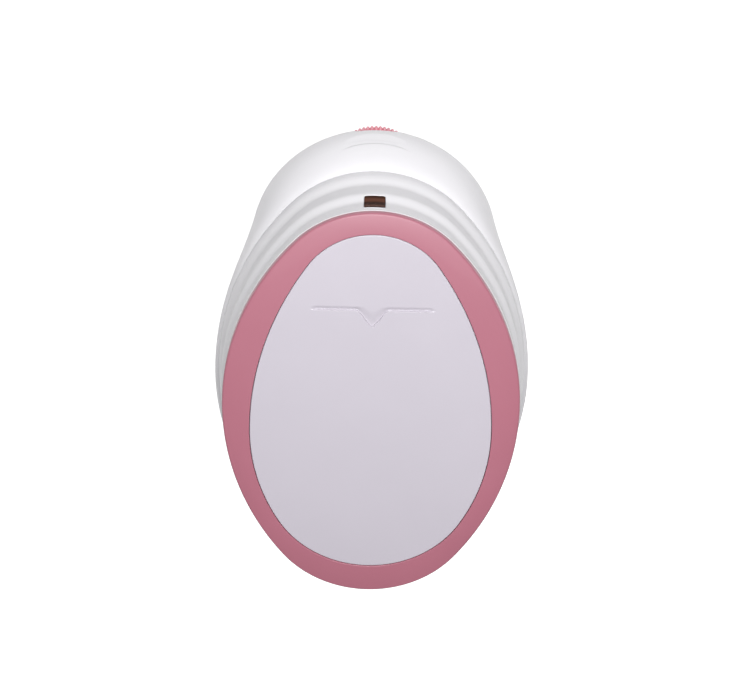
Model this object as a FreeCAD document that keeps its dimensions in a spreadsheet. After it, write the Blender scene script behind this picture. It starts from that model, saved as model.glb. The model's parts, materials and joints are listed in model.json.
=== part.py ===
import FreeCAD, Part
import math
import os
import Sketcher
from FreeCAD import Placement, Rotation, Vector

# A pocket fetal doppler monitor, lying on its ultrasound probe with its battery cover up.
# Millimetres. +Z goes from the probe's contact face to the cover, +Y to the thumbwheel end, +X across.
# The origin is the centre of the contact face.

SIZES = {
    "Cover and face outline": {
        "face_y": -9.5,            # widest line of the face, from the probe's axis
        "face_half": 35.4,
        "face_top": 50.0,          # from the widest line to the thumbwheel end
        "face_bottom": 51.5,       # from the widest line to the wide end
        "face_upper": 60.8,        # flank radii, above and below the widest line
        "face_lower": 66.5,
        "panel_y": -15.9,          # widest line of the white panel
        "panel_half": 28.9,
        "panel_top": 51.3,
        "panel_bottom": 37.6,
        "panel_upper": 75.8,
        "panel_lower": 48.9,
        "apex": 60.0,              # height of the crowned face
        "crown": 600.0,            # radius of the crown
        "panel_drop": 0.12,        # how far the panel lies under the ring
        "cover_seam": 0.12,        # gap between panel and ring
        "ring_round": 1.5,
        "flange_inset": 1.6,       # panel's flange inside the ring's outline
        "flange_top": 57.2,
        "cover_bottom": 56.2,
        "cover_gap": 0.2,          # between cover and deck
    },
    "Ledge for the thumb": {
        "ledge_y": 16.65,
        "ledge_half": 14.8,
        "ledge_rise": 0.95,
        "ledge_depth": 0.35,
        "vee_half": 3.7,
        "vee_drop": 4.3,
        "vee_tip": 0.4,            # half the blunt tip
        "vee_inner_half": 1.9,
        "vee_inner_drop": 1.2,
    },
    "Cover hooks": {
        "hook_x": 21.0,
        "hook_thick": 2.4,
        "hook_web": 2.0,
        "hook_foot": 6.6,
        "hook_upper_y": 2.0,
        "hook_lower_y": -20.0,
        "hook_foot_height": 1.5,
        "hook_play": 0.3,
        "cover_travel": 8.0,
    },
    "Front shell": {
        "parting": 37.4,
        "deck_thick": 2.2,
        "step_outer": 1.9,         # outer step's offset from the face outline
        "step_outer_rise": 5.5,    # outer step's top above the parting line
        "step_outer_round": 1.05,
        "step_inner": 0.95,
        "step_inner_top": 51.2,
        "step_inner_round": 0.9,
        "rim": 0.1,
        "front_wall": 1.6,
        "front_wall_low": 1.8,
        "step_roof": 1.9,          # wall under the outer step's top
        "well_play": 0.75,         # beside the battery
        "well_end_play": 0.5,
        "clip_room": 8.1,          # beyond the battery's studs
        "battery_drop": 3.0,       # how far the battery lies under the deck's top
        "well_wall": 1.5,
        "post_radius": 2.4,
        "front_boss": 3.5,
        "pilot": 1.45,
        "board_pilot": 1.05,
        "board_pilot_depth": 8.0,
    },
    "Status lamp": {
        "window_half": 2.5,
        "window_below": 2.0,       # from the inner step's top
        "window_above": 3.2,
        "window_gap": 0.06,
        "window_round": 0.5,
        "window_reach": 12.0,      # how far the opening is cut, either side of the face's edge
        "lamp_radius": 1.6,
        "lamp_length": 5.3,
        "lamp_gap": 0.3,
        "lead_radius": 0.25,
        "lead_pitch": 2.54,
        "lead_gap": 1.3,           # from the leads to the thumbwheel
        "lead_bend": 1.2,
    },
    "Rear hull sections": {
        "hull1_drop": 4.4, "hull1_y": -13.5, "hull1_side": 2.7, "hull1_top": 60.0,
        "hull1_bottom": 46.5, "hull1_upper": 86.3, "hull1_lower": 58.0,
        "hull2_drop": 10.4, "hull2_y": -13.3, "hull2_side": 0.0, "hull2_top": 61.5,
        "hull2_bottom": 40.0, "hull2_upper": 120.0, "hull2_lower": 47.0,
        "hull3_drop": 19.9, "hull3_y": -6.0, "hull3_side": -3.9, "hull3_top": 46.0,
        "hull3_bottom": 33.0, "hull3_upper": 90.0, "hull3_lower": 44.0,
        "neck_z": 8.5,             # lower rim, round the probe; the rest are distances from the cup
        "neck_side": 4.7, "neck_top": 7.1, "neck_bottom": 6.1, "neck_upper": 13.5, "neck_lower": 11.5,
        "hull_wall": 2.0,
        "hull_round": 1.6,
        "hull_seam": 0.08,
    },
    "Thumbwheel": {
        "wheel_y": 36.6,
        "wheel_radius": 11.5,
        "wheel_lift": 1.2,         # over the board
        "wheel_thick": 2.6,
        "wheel_teeth": 70,
        "tooth_depth": 0.45,
        "wheel_gap": 0.5,
        "slot_play": 0.4,          # above and below the wheel
        "wheel_hub": 3.2,
        "recess_half": 7.8,
        "recess_tilt": 19.5,       # degrees, along the hull's slope above the wheel
        "recess_rise": 4.2,        # over the wheel's underside
        "recess_height": 4.0,
        "recess_y": 47.15,
        "recess_radius": 45.0,
        "pot_radius": 2.6,
        "pot_gap": 0.2,
        "wheel_screw_radius": 1.0,
        "wheel_screw_head": 2.0,
        "wheel_screw_height": 1.1,
        "wheel_sink": 1.3,
        "shaft_play": 0.05,
        "shaft_end_play": 0.2,
        "pot_floor": 0.3,
    },
    "Boards": {
        "board_low": 20.0,
        "board_thick": 1.6,
        "board_half": 14.2,
        "board_top_y": 39.4,
        "board_bottom_y": -34.0,
        "board_corner": 10.5,
        "board_post_x": 10.5,
        "board_post_y": 10.0,
        "board_post_low_y": -29.0,
        "board_hole": 1.3,
        "board_screw_head": 2.1,
        "board_screw_height": 1.3,
        "board_screw_shank": 1.0,
        "board_screw_length": 8.0,
        "chip_height": 1.7,
        "capacitor_radius": 2.5,
        "capacitor_height": 6.0,
    },
    "Case screws": {
        "screw_upper_x": 19.5,
        "screw_upper_y": 26.0,
        "screw_lower_x": 24.0,
        "screw_lower_y": -34.0,
        "screw_depth": 7.4,        # from the parting line to the heads' seats
        "screw_head": 2.6,
        "screw_head_height": 1.9,
        "screw_shank": 1.4,
        "screw_length": 14.0,
        "screw_play": 0.35,
        "rear_boss": 4.7,
        "boss_gap": 0.1,
    },
    "Battery": {
        "battery_half": 13.25,
        "battery_length": 46.4,
        "battery_height": 17.5,
        "battery_start": -36.5,
        "battery_corner": 2.2,
        "terminal_pitch": 12.7,
        "terminal_radius": 2.9,
        "terminal_height": 2.0,
        "stud_play": 0.1,
        "clip_thick": 3.2,
        "clip_half": 12.6,
        "clip_height": 12.0,
        "battery_lead": 0.65,
        "battery_lead_out": 2.5,   # from the well's wall
        "battery_lead_x": 3.0,
        "battery_lead_bend": 2.5,
        "lead_play": 0.35,
        "clip_gap": 0.3,
        "foam_gap": 0.2,
        "foam_half": 9.0,
        "foam_low_y": -22.0,
        "foam_high_y": 6.0,
    },
    "Earphone sockets": {
        "socket_x": 11.0,
        "socket_drop": 3.0,        # axis under the board
        "socket_bore": 1.85,
        "socket_body_half": 3.0,
        "socket_body_height": 5.4,
        "socket_back_y": 19.0,
        "socket_front_y": 29.6,
        "socket_nose": 2.9,
        "socket_end_y": 36.2,
        "socket_gap": 0.15,
        "spot_radius": 4.4,
        "spot_gap": 0.3,
        "socket_back_wall": 1.5,
    },
    "Ultrasound probe": {
        "cup_radius": 22.5,
        "cup_wall": 2.0,
        "cup_top": 13.5,
        "cup_lip": 1.9,            # flange beyond the cup
        "cup_flange_thick": 1.5,
        "cup_gap": 0.3,
        "gasket_gap": 0.1,
        "gasket_thick": 1.0,
        "cup_rim": 0.4,            # contact face stands this far out of the cup
        "cup_bevel": 0.8,
        "face_thick": 2.4,
        "bond_gap": 0.05,
        "face_round": 0.8,
        "crystal_radius": 9.0,
        "crystal_thick": 1.0,
        "crystal_split": 1.6,
        "backing_top": 7.0,
        "can_gap": 2.5,            # inside the cup's wall
        "can_wall": 0.5,
        "can_top": 11.0,
        "coax": 1.1,
        "coax_play": 0.15,
        "coax_y": -12.0,
    },
}

# Places that follow from the sizes above, so that what fits together moves together.
DERIVED = {
    "deck_top": "cover_bottom - cover_gap",
    "deck_under": "deck_top - deck_thick",
    "step_outer_top": "parting + step_outer_rise",
    "cavity_low": "step_outer_top - step_roof",
    "window_low": "step_inner_top - window_below",
    "window_high": "step_inner_top + window_above",
    "battery_end": "battery_start + battery_length",
    "well_half": "battery_half + well_play",
    "well_top_y": "battery_end + clip_room",
    "well_bottom_y": "battery_start - well_end_play",
    "well_floor": "deck_top - battery_drop - battery_height",
    "battery_middle": "well_floor + battery_height / 2",
    "battery_lead_y": "well_top_y + well_wall + battery_lead_out",
    "board_top": "board_low + board_thick",
    "wheel_low": "board_top + wheel_lift",
    "recess_low": "wheel_low + recess_rise",
    "recess_high": "recess_low + recess_height",
    "lead_bend_y": "wheel_y - wheel_radius - lead_gap",
    "screw_seat": "parting - screw_depth",
    "socket_z": "board_low - socket_drop",
    "cup_flange": "cup_radius + cup_lip",
    "can_radius": "cup_radius - cup_wall - can_gap",
    "hull_floor": "cup_top - cup_flange_thick - gasket_thick",
    "hull1_z": "parting - hull1_drop",
    "hull2_z": "parting - hull2_drop",
    "hull3_z": "parting - hull3_drop",
}

doc = FreeCAD.newDocument("doppler")
nodes = {}


def make_sheet():
    """Writes the driving sizes and what follows from them into the sheet, one row each, with an alias."""
    sheet = doc.addObject("Spreadsheet::Sheet", "Sizes")
    derived = {alias: "=" + words for alias, words in DERIVED.items()}
    row = 1
    for group, values in {**SIZES, "Derived": derived}.items():
        sheet.set(f"A{row}", group)
        row += 1
        for alias, value in values.items():
            sheet.set(f"A{row}", alias.replace("_", " "))
            sheet.set(f"B{row}", str(value))
            sheet.setAlias(f"B{row}", alias)
            row += 1
    doc.recompute()
    return sheet


sheet = make_sheet()
NAMES = {alias for group in (*SIZES.values(), DERIVED) for alias in group}


def cells(words):
    """Turns size names in a formula into references to the sheet's cells."""
    out = ""
    word = ""
    for ch in str(words) + " ":
        if ch.isalnum() or ch == "_":
            word += ch
        else:
            out += f"Sizes.{word}" if word in NAMES else word
            out += ch
            word = ""
    return out.strip()


def size(words):
    """Value of a formula of size names."""
    return float(sheet.evalExpression(cells(words)))


def bind(obj, prop, words):
    obj.setExpression(prop, cells(words))


class Egg:
    """An outline of six tangent arcs: two ends, and a flank arc above and below each side's widest point."""

    def __init__(self, widest, half, top, bottom, upper, lower):
        self.widest = widest
        self.half = half
        self.top = top
        self.bottom = bottom
        self.upper = upper
        self.lower = lower

    def offset(self, by):
        """The same outline, moved outwards all round."""
        moved = [f"({v}) + ({by})" for v in (self.half, self.top, self.bottom, self.upper, self.lower)]
        return Egg(self.widest, *moved)


FACE = Egg("face_y", "face_half", "face_top", "face_bottom", "face_upper", "face_lower")
PANEL = Egg("panel_y", "panel_half", "panel_top", "panel_bottom", "panel_upper", "panel_lower")


NECK = Egg("0", *[f"cup_radius + neck_{k}" for k in ("side", "top", "bottom", "upper", "lower")])


def hull_section(number):
    """Outline of the rear hull at one of its levels, which widen and narrow with the face."""
    side = f"face_half + hull{number}_side"
    return Egg(f"hull{number}_y", side, *[f"hull{number}_{k}" for k in ("top", "bottom", "upper", "lower")])


def end_radius(half, height, flank):
    """Radius of the end arc that a flank arc runs into."""
    reach = flank - half
    return (flank**2 - reach**2 - height**2) / (2 * (flank - height))


def plane_of(body, role):
    return next(p for p in body.Origin.OriginFeatures if p.Role == role)


def new_sketch(body, name, height="0", role="XY_Plane"):
    """A sketch on one of the body's own origin planes, moved along the plane's normal."""
    sketch = body.newObject("Sketcher::SketchObject", name)
    sketch.AttachmentSupport = [(plane_of(body, role), "")]
    sketch.MapMode = "FlatFace"
    bind(sketch, "AttachmentOffset.Base.z", height)
    return sketch


def loose_sketch(name, height):
    """A level sketch outside any body, for a loft."""
    sketch = doc.addObject("Sketcher::SketchObject", name)
    bind(sketch, "Placement.Base.z", height)
    return sketch


def limit(sketch, kind, refs, words):
    """Adds a dimension and ties it to the sheet."""
    index = sketch.addConstraint(Sketcher.Constraint(kind, *refs, size(words)))
    sketch.setExpression(f"Constraints[{index}]", cells(words))


def draw_egg(sketch, egg):
    widest = size(egg.widest)
    half = size(egg.half)
    arcs = []
    for flank, height, sign in ((size(egg.upper), size(egg.top), 1), (size(egg.lower), size(egg.bottom), -1)):
        end = end_radius(half, height, flank)
        turn = math.atan2(height - end, flank - half)
        arcs.append((flank, end, widest + sign * (height - end), turn))
    (up, up_end, up_y, up_turn), (low, low_end, low_y, low_turn) = arcs
    shapes = [
        (half - up, widest, up, 0.0, up_turn),
        (0.0, up_y, up_end, up_turn, math.pi - up_turn),
        (up - half, widest, up, math.pi - up_turn, math.pi),
        (low - half, widest, low, math.pi, math.pi + low_turn),
        (0.0, low_y, low_end, math.pi + low_turn, 2 * math.pi - low_turn),
        (half - low, widest, low, 2 * math.pi - low_turn, 2 * math.pi),
    ]
    for x, y, radius, start, end in shapes:
        circle = Part.Circle(Vector(x, y, 0), Vector(0, 0, 1), radius)
        sketch.addGeometry(Part.ArcOfCircle(circle, start, end), False)
    top = sketch.addGeometry(Part.Point(Vector(0, up_y + up_end, 0)), True)
    bottom = sketch.addGeometry(Part.Point(Vector(0, low_y - low_end, 0)), True)
    for i in range(6):
        sketch.addConstraint(Sketcher.Constraint("Tangent", i, 2, (i + 1) % 6, 1))
    limit(sketch, "DistanceY", (-1, 1, 0, 3), egg.widest)
    for i in (2, 3, 5):
        sketch.addConstraint(Sketcher.Constraint("Horizontal", 0, 3, i, 3))
    limit(sketch, "Radius", (0,), egg.upper)
    limit(sketch, "Radius", (5,), egg.lower)
    sketch.addConstraint(Sketcher.Constraint("Equal", 0, 2))
    sketch.addConstraint(Sketcher.Constraint("Equal", 5, 3))
    limit(sketch, "DistanceX", (-1, 1, 0, 1), egg.half)
    limit(sketch, "DistanceX", (2, 2, -1, 1), egg.half)
    for point, arc in ((top, 1), (bottom, 4)):
        sketch.addConstraint(Sketcher.Constraint("PointOnObject", point, 1, -2))
        sketch.addConstraint(Sketcher.Constraint("PointOnObject", point, 1, arc))
    limit(sketch, "DistanceY", (-1, 1, top, 1), f"({egg.widest}) + ({egg.top})")
    limit(sketch, "DistanceY", (bottom, 1, -1, 1), f"({egg.bottom}) - ({egg.widest})")


def draw_circle(sketch, x, y, radius):
    circle = Part.Circle(Vector(size(x), size(y), 0), Vector(0, 0, 1), size(radius))
    index = sketch.addGeometry(circle, False)
    limit(sketch, "Radius", (index,), radius)
    limit(sketch, "DistanceX", (-1, 1, index, 3), x)
    limit(sketch, "DistanceY", (-1, 1, index, 3), y)


def draw_polygon(sketch, points):
    """Straight edges through corners given as pairs of formulas."""
    first = sketch.GeometryCount
    places = [Vector(size(x), size(y), 0) for x, y in points]
    count = len(points)
    for i, place in enumerate(places):
        sketch.addGeometry(Part.LineSegment(place, places[(i + 1) % count]), False)
    for i in range(count):
        after = first + (i + 1) % count
        sketch.addConstraint(Sketcher.Constraint("Coincident", first + i, 2, after, 1))
    for i, (x, y) in enumerate(points):
        limit(sketch, "DistanceX", (-1, 1, first + i, 1), x)
        limit(sketch, "DistanceY", (-1, 1, first + i, 1), y)


def draw_box(sketch, left, right, low, high):
    draw_polygon(sketch, [(left, low), (right, low), (right, high), (left, high)])


def draw_rounded_box(sketch, half, low, high, radius):
    """A box about the middle with four equal round corners."""
    across = size(half) - size(radius)
    bottom = size(low) + size(radius)
    top = size(high) - size(radius)
    centres = [(across, bottom), (across, top), (-across, top), (-across, bottom)]
    for i, (x, y) in enumerate(centres):
        start = (i - 1) * math.pi / 2
        circle = Part.Circle(Vector(x, y, 0), Vector(0, 0, 1), size(radius))
        sketch.addGeometry(Part.ArcOfCircle(circle, start, start + math.pi / 2), False)
    for i in range(4):
        here = sketch.Geometry[i].EndPoint
        there = sketch.Geometry[(i + 1) % 4].StartPoint
        sketch.addGeometry(Part.LineSegment(here, there), False)
    for i in range(4):
        sketch.addConstraint(Sketcher.Constraint("Tangent", i, 2, 4 + i, 1))
        sketch.addConstraint(Sketcher.Constraint("Tangent", 4 + i, 2, (i + 1) % 4, 1))
        sketch.addConstraint(Sketcher.Constraint("Horizontal" if i % 2 else "Vertical", 4 + i))
    for i in (1, 2, 3):
        sketch.addConstraint(Sketcher.Constraint("Equal", 0, i))
    limit(sketch, "Radius", (0,), radius)
    limit(sketch, "DistanceX", (-1, 1, 4, 1), half)
    limit(sketch, "DistanceX", (6, 1, -1, 1), half)
    limit(sketch, "DistanceY", (-1, 1, 5, 1), high)
    limit(sketch, "DistanceY", (-1, 1, 7, 1), low)


def pad(body, sketch, length, name, down=False):
    feature = body.newObject("PartDesign::Pad", name)
    feature.Profile = sketch
    feature.Reversed = down
    bind(feature, "Length", length)
    return feature


def pocket(body, sketch, length, name, up=False):
    """Cuts downwards from the sketch, or upwards."""
    feature = body.newObject("PartDesign::Pocket", name)
    feature.Profile = sketch
    feature.Reversed = up
    bind(feature, "Length", length)
    return feature


def new_body(name):
    body = doc.addObject("PartDesign::Body", name)
    body.Label = name
    nodes[name] = body
    return body


def level_edges(shape, height, least=0.0):
    """Names of the edges that lie level at one height, beyond a length."""
    found = []
    for number, edge in enumerate(shape.Edges, 1):
        box = edge.BoundBox
        if abs(box.ZMin - height) < 1e-4 and abs(box.ZMax - height) < 1e-4 and edge.Length > least:
            found.append(f"Edge{number}")
    return found


def round_edges(body, feature, names, radius, name):
    fillet = body.newObject("PartDesign::Fillet", name)
    fillet.Base = (feature, names)
    bind(fillet, "Radius", radius)
    return fillet


def cylinder(name, radius, height, x="0", y="0", z="0", along="Z"):
    """A cylinder that stands on a point and runs along +Z or +Y."""
    obj = doc.addObject("Part::Cylinder", name)
    turn = Rotation() if along == "Z" else Rotation(Vector(1, 0, 0), -90)
    obj.Placement = Placement(Vector(size(x), size(y), size(z)), turn)
    bind(obj, "Radius", radius)
    bind(obj, "Height", height)
    bind(obj, "Placement.Base.x", x)
    bind(obj, "Placement.Base.y", y)
    bind(obj, "Placement.Base.z", z)
    return obj


def box(name, left, right, front, back, low, high):
    obj = doc.addObject("Part::Box", name)
    bind(obj, "Length", f"({right}) - ({left})")
    bind(obj, "Width", f"({back}) - ({front})")
    bind(obj, "Height", f"({high}) - ({low})")
    bind(obj, "Placement.Base.x", left)
    bind(obj, "Placement.Base.y", front)
    bind(obj, "Placement.Base.z", low)
    return obj


def cut(name, base, tool):
    obj = doc.addObject("Part::Cut", name)
    obj.Base = base
    obj.Tool = tool
    return obj


def common(name, base, tool):
    obj = doc.addObject("Part::Common", name)
    obj.Base = base
    obj.Tool = tool
    return obj


def fuse(name, parts):
    obj = doc.addObject("Part::MultiFuse", name)
    obj.Shapes = parts
    return obj


def group(name, parts):
    """Separate solids that share one node."""
    obj = doc.addObject("Part::Compound", name)
    obj.Links = parts
    return keep(name, obj)


def keep(name, obj):
    obj.Label = name
    nodes[name] = obj
    return obj


SIDES = (("left", "-1"), ("right", "1"))
CASE_SCREWS = [(f"{s} * screw_{row}_x", f"screw_{row}_y") for row in ("upper", "lower") for _, s in SIDES]
BOARD_POSTS = [("-board_post_x", "board_post_y"), ("board_post_x", "board_post_y"), ("0", "board_post_low_y")]
HOOKS = [(f"{s} * hook_x", f"hook_{row}_y") for row in ("upper", "lower") for _, s in SIDES]
CHIPS = ((0, -8, 5), (-9, 18.5, 3), (9, 18.5, 3))                  # middle and half width of each
CAPACITORS = ((-10.5, -8), (10.5, -8), (-10.5, -18), (10.5, -18))


def crown_cut(body, name, height):
    """Turns away what lies above a ball-shaped crown over the face's widest line."""
    sketch = new_sketch(body, name + "_outline", "-face_y", "XZ_Plane")
    reach = size("face_half + face_bottom")
    crown = size("crown")
    top = size(height)
    drop = crown - math.sqrt(crown**2 - reach**2)
    start = math.asin((crown - drop) / crown)
    centre = Vector(0, top - crown, 0)
    arc = Part.ArcOfCircle(Part.Circle(centre, Vector(0, 0, 1), crown), start, math.pi / 2)
    sketch.addGeometry(arc, False)
    sketch.addGeometry(Part.LineSegment(Vector(0, top, 0), Vector(0, top + 9, 0)), False)
    sketch.addGeometry(Part.LineSegment(Vector(0, top + 9, 0), Vector(reach, top + 9, 0)), False)
    sketch.addGeometry(Part.LineSegment(Vector(reach, top + 9, 0), Vector(reach, top - drop, 0)), False)
    for a, a_end, b, b_end in ((0, 2, 1, 1), (1, 2, 2, 1), (2, 2, 3, 1), (3, 2, 0, 1)):
        sketch.addConstraint(Sketcher.Constraint("Coincident", a, a_end, b, b_end))
    sketch.addConstraint(Sketcher.Constraint("PointOnObject", 0, 3, -2))
    sketch.addConstraint(Sketcher.Constraint("PointOnObject", 1, 1, -2))
    sketch.addConstraint(Sketcher.Constraint("Vertical", 1))
    sketch.addConstraint(Sketcher.Constraint("Horizontal", 2))
    sketch.addConstraint(Sketcher.Constraint("Vertical", 3))
    limit(sketch, "Radius", (0,), "crown")
    limit(sketch, "DistanceY", (-1, 1, 1, 1), height)
    limit(sketch, "DistanceX", (-1, 1, 3, 1), "face_half + face_bottom")
    limit(sketch, "DistanceY", (1, 1, 1, 2), "9")
    groove = body.newObject("PartDesign::Groove", name)
    groove.Profile = sketch
    groove.ReferenceAxis = (sketch, ["V_Axis"])
    groove.Angle = 360.0
    return groove


def make_front_shell():
    body = new_body("front_shell")
    steps = (
        ("outer", "step_outer", "step_outer_top", "step_outer_round"),
        ("inner", "step_inner", "step_inner_top", "step_inner_round"),
    )
    for name, by, top, radius in steps:
        outline = new_sketch(body, f"step_{name}_outline", "parting")
        draw_egg(outline, FACE.offset(by))
        step = pad(body, outline, f"{top} - parting", f"step_{name}_pad")
        doc.recompute()
        round_edges(body, step, level_edges(step.Shape, size(top), 8.0), radius, f"step_{name}_edge")
        doc.recompute()
    outline = new_sketch(body, "rim_outline", "parting")
    draw_egg(outline, FACE.offset("rim"))
    pad(body, outline, "deck_top - parting", "rim_pad")
    hollow = new_sketch(body, "hollow_outline", "parting")
    draw_egg(hollow, FACE.offset("rim - front_wall"))
    pocket(body, hollow, "deck_under - parting", "hollow", up=True)
    low = new_sketch(body, "hollow_low_outline", "parting")
    draw_egg(low, FACE.offset("step_outer - front_wall_low"))
    pocket(body, low, "cavity_low - parting", "hollow_low", up=True)
    tray = new_sketch(body, "well_outline", "well_floor - well_wall")
    draw_box(tray, "-well_half - well_wall", "well_half + well_wall",
             "well_bottom_y - well_wall", "well_top_y + well_wall")
    pad(body, tray, "deck_top - well_floor + well_wall", "well_pad")
    posts = new_sketch(body, "post_circles", "board_top")
    for x, y in BOARD_POSTS:
        draw_circle(posts, x, y, "post_radius")
    pad(body, posts, "well_floor - board_top", "board_posts")
    bosses = new_sketch(body, "boss_circles", "parting")
    for x, y in CASE_SCREWS:
        draw_circle(bosses, x, y, "front_boss")
    pad(body, bosses, "deck_top - parting - 1", "screw_bosses")
    well = new_sketch(body, "well_inside", "deck_top")
    draw_box(well, "-well_half", "well_half", "well_bottom_y", "well_top_y")
    pocket(body, well, "deck_top - well_floor", "battery_well")
    pilots = new_sketch(body, "pilot_circles", "parting")
    for x, y in CASE_SCREWS:
        draw_circle(pilots, x, y, "pilot")
    pocket(body, pilots, "screw_seat + screw_length + 2 - parting", "pilot_holes", up=True)
    board_pilots = new_sketch(body, "board_pilot_circles", "board_top")
    for x, y in BOARD_POSTS:
        draw_circle(board_pilots, x, y, "board_pilot")
    pocket(body, board_pilots, "board_pilot_depth", "board_pilots", up=True)
    windows = new_sketch(body, "hook_windows", "deck_top")
    for x, y in HOOKS:
        draw_box(windows, f"{x} - hook_thick / 2 - hook_play", f"{x} + hook_thick / 2 + hook_play",
                 f"{y} - cover_travel - hook_web / 2 - hook_play", f"{y} + hook_web / 2 + hook_play")
    pocket(body, windows, "deck_thick + 0.1", "hook_slots")
    lamp = new_sketch(body, "window_outline", "window_reach - face_y - face_top", "XZ_Plane")
    draw_rounded_box(lamp, "window_half", "window_low", "window_high", "window_round")
    pocket(body, lamp, "2 * window_reach", "window_opening")
    lead_holes = new_sketch(body, "lead_circles", "-well_top_y + 1", "XZ_Plane")
    for _, sign in SIDES:
        draw_circle(lead_holes, f"{sign} * battery_lead_x", "battery_middle",
                    "battery_lead + lead_play")
    pocket(body, lead_holes, "well_wall + 2", "lead_holes")


def make_ring_trim():
    body = new_body("ring_trim")
    outline = new_sketch(body, "ring_outline", "cover_bottom")
    draw_egg(outline, FACE)
    pad(body, outline, "apex + 1 - cover_bottom", "ring_pad")
    crown_cut(body, "ring_crown", "apex")
    doc.recompute()
    crown = body.Tip
    edges = []
    for number, edge in enumerate(crown.Shape.Edges, 1):
        if edge.BoundBox.ZMin > size("cover_bottom") + 0.3 and edge.BoundBox.DiagonalLength > 4:
            if edge.BoundBox.ZLength < 6 and abs(edge.BoundBox.ZMax - edge.BoundBox.ZMin) < 3:
                edges.append(f"Edge{number}")
    round_edges(body, crown, edges, "ring_round", "ring_edge")
    seat = new_sketch(body, "flange_seat_outline", "cover_bottom")
    draw_egg(seat, FACE.offset("-flange_inset"))
    pocket(body, seat, "flange_top - cover_bottom", "flange_seat", up=True)
    opening = new_sketch(body, "panel_opening_outline", "cover_bottom")
    draw_egg(opening, PANEL)
    pocket(body, opening, "apex + 1 - cover_bottom", "panel_opening", up=True)


def make_cover_panel():
    body = new_body("cover_panel")
    flange = new_sketch(body, "flange_outline", "cover_bottom")
    draw_egg(flange, FACE.offset("-flange_inset - cover_seam"))
    pad(body, flange, "flange_top - cover_bottom", "flange_pad")
    panel = new_sketch(body, "panel_outline", "cover_bottom")
    draw_egg(panel, PANEL.offset("-cover_seam"))
    pad(body, panel, "apex + 1 - cover_bottom", "panel_pad")
    crown_cut(body, "panel_crown", "apex - panel_drop")
    hollow = new_sketch(body, "panel_hollow_outline", "cover_bottom")
    draw_egg(hollow, PANEL.offset("-cover_seam - 2"))
    pocket(body, hollow, "flange_top - cover_bottom", "panel_hollow", up=True)
    ledge = new_sketch(body, "ledge_outline", "apex")
    draw_polygon(ledge, [
        ("-ledge_half", "ledge_y"),
        ("-vee_half", "ledge_y"),
        ("-vee_tip", "ledge_y - vee_drop"),
        ("vee_tip", "ledge_y - vee_drop"),
        ("vee_half", "ledge_y"),
        ("ledge_half", "ledge_y"),
        ("ledge_half", "ledge_y + ledge_rise"),
        ("vee_inner_half", "ledge_y + ledge_rise"),
        ("0", "ledge_y + ledge_rise - vee_inner_drop"),
        ("-vee_inner_half", "ledge_y + ledge_rise"),
        ("-ledge_half", "ledge_y + ledge_rise"),
    ])
    pocket(body, ledge, "panel_drop + ledge_depth + 0.5", "ledge")
    webs = new_sketch(body, "hook_webs", "flange_top")
    for x, y in HOOKS:
        draw_box(webs, f"{x} - hook_thick / 2", f"{x} + hook_thick / 2",
                 f"{y} - hook_web / 2", f"{y} + hook_web / 2")
    foot_low = "deck_under - hook_play - hook_foot_height"
    pad(body, webs, f"flange_top - ({foot_low})", "hook_webs_pad", down=True)
    feet = new_sketch(body, "hook_feet", foot_low)
    for x, y in HOOKS:
        draw_box(feet, f"{x} - hook_thick / 2", f"{x} + hook_thick / 2",
                 f"{y} - hook_web / 2", f"{y} - hook_web / 2 + hook_foot")
    pad(body, feet, "hook_foot_height", "hook_feet_pad")


def make_cover_foam():
    low = "well_floor + battery_height + foam_gap"
    foam = box("cover_foam", "-foam_half", "foam_half", "foam_low_y", "foam_high_y", low, "flange_top")
    keep("cover_foam", foam)


def make_led_window():
    """A lens with round corners whose outside follows the shell's two steps."""
    steps = doc.addObject("PartDesign::Body", "window_steps")
    profile = new_sketch(steps, "window_profile", "0", "YZ_Plane")
    edge = "face_y + face_top"
    low = "window_low + window_gap"
    high = "window_high - window_gap"
    draw_polygon(profile, [
        (f"{edge} + rim - front_wall", low),
        (f"{edge} + step_inner", low),
        (f"{edge} + step_inner", "step_inner_top - step_inner_round"),
        (f"{edge} + step_inner - step_inner_round * 0.3", "step_inner_top - step_inner_round * 0.3"),
        (f"{edge} + rim", "step_inner_top"),
        (f"{edge} + rim", high),
        (f"{edge} + rim - front_wall", high),
    ])
    feature = steps.newObject("PartDesign::Pad", "window_pad")
    feature.Profile = profile
    feature.Midplane = True
    bind(feature, "Length", "2 * window_half")
    column = doc.addObject("PartDesign::Body", "window_column")
    outline = new_sketch(column, "window_column_outline", "window_reach - face_y - face_top", "XZ_Plane")
    draw_rounded_box(outline, "window_half - window_gap", low, high, "window_round - window_gap")
    pad(column, outline, "2 * window_reach", "window_column_pad", down=True)
    keep("led_window", common("led_window", steps, column))


def wire_tube(name, points, bend, radius):
    """A round wire along straight runs with equal bends, built from tangent arcs."""
    corners = [Vector(*[size(c) for c in p]) for p in points]
    edges = []
    here = corners[0]
    for before, corner, after in zip(corners, corners[1:], corners[2:]):
        into = (corner - before).normalize()
        out = (after - corner).normalize()
        half = into.getAngle(out) / 2
        back = bend * math.tan(half)
        start = corner - into * back
        end = corner + out * back
        middle = corner + (out - into).normalize() * (bend / math.cos(half) - bend)
        edges.append(Part.LineSegment(here, start).toShape())
        edges.append(Part.Arc(start, middle, end).toShape())
        here = end
    edges.append(Part.LineSegment(here, corners[-1]).toShape())
    circle = Part.Wire([Part.makeCircle(radius, corners[0], corners[1] - corners[0])])
    tube = Part.Wire(edges).makePipeShell([circle], True, False)
    obj = doc.addObject("Part::Feature", name)
    obj.Shape = tube
    obj.Placement = Placement()
    return obj


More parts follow.
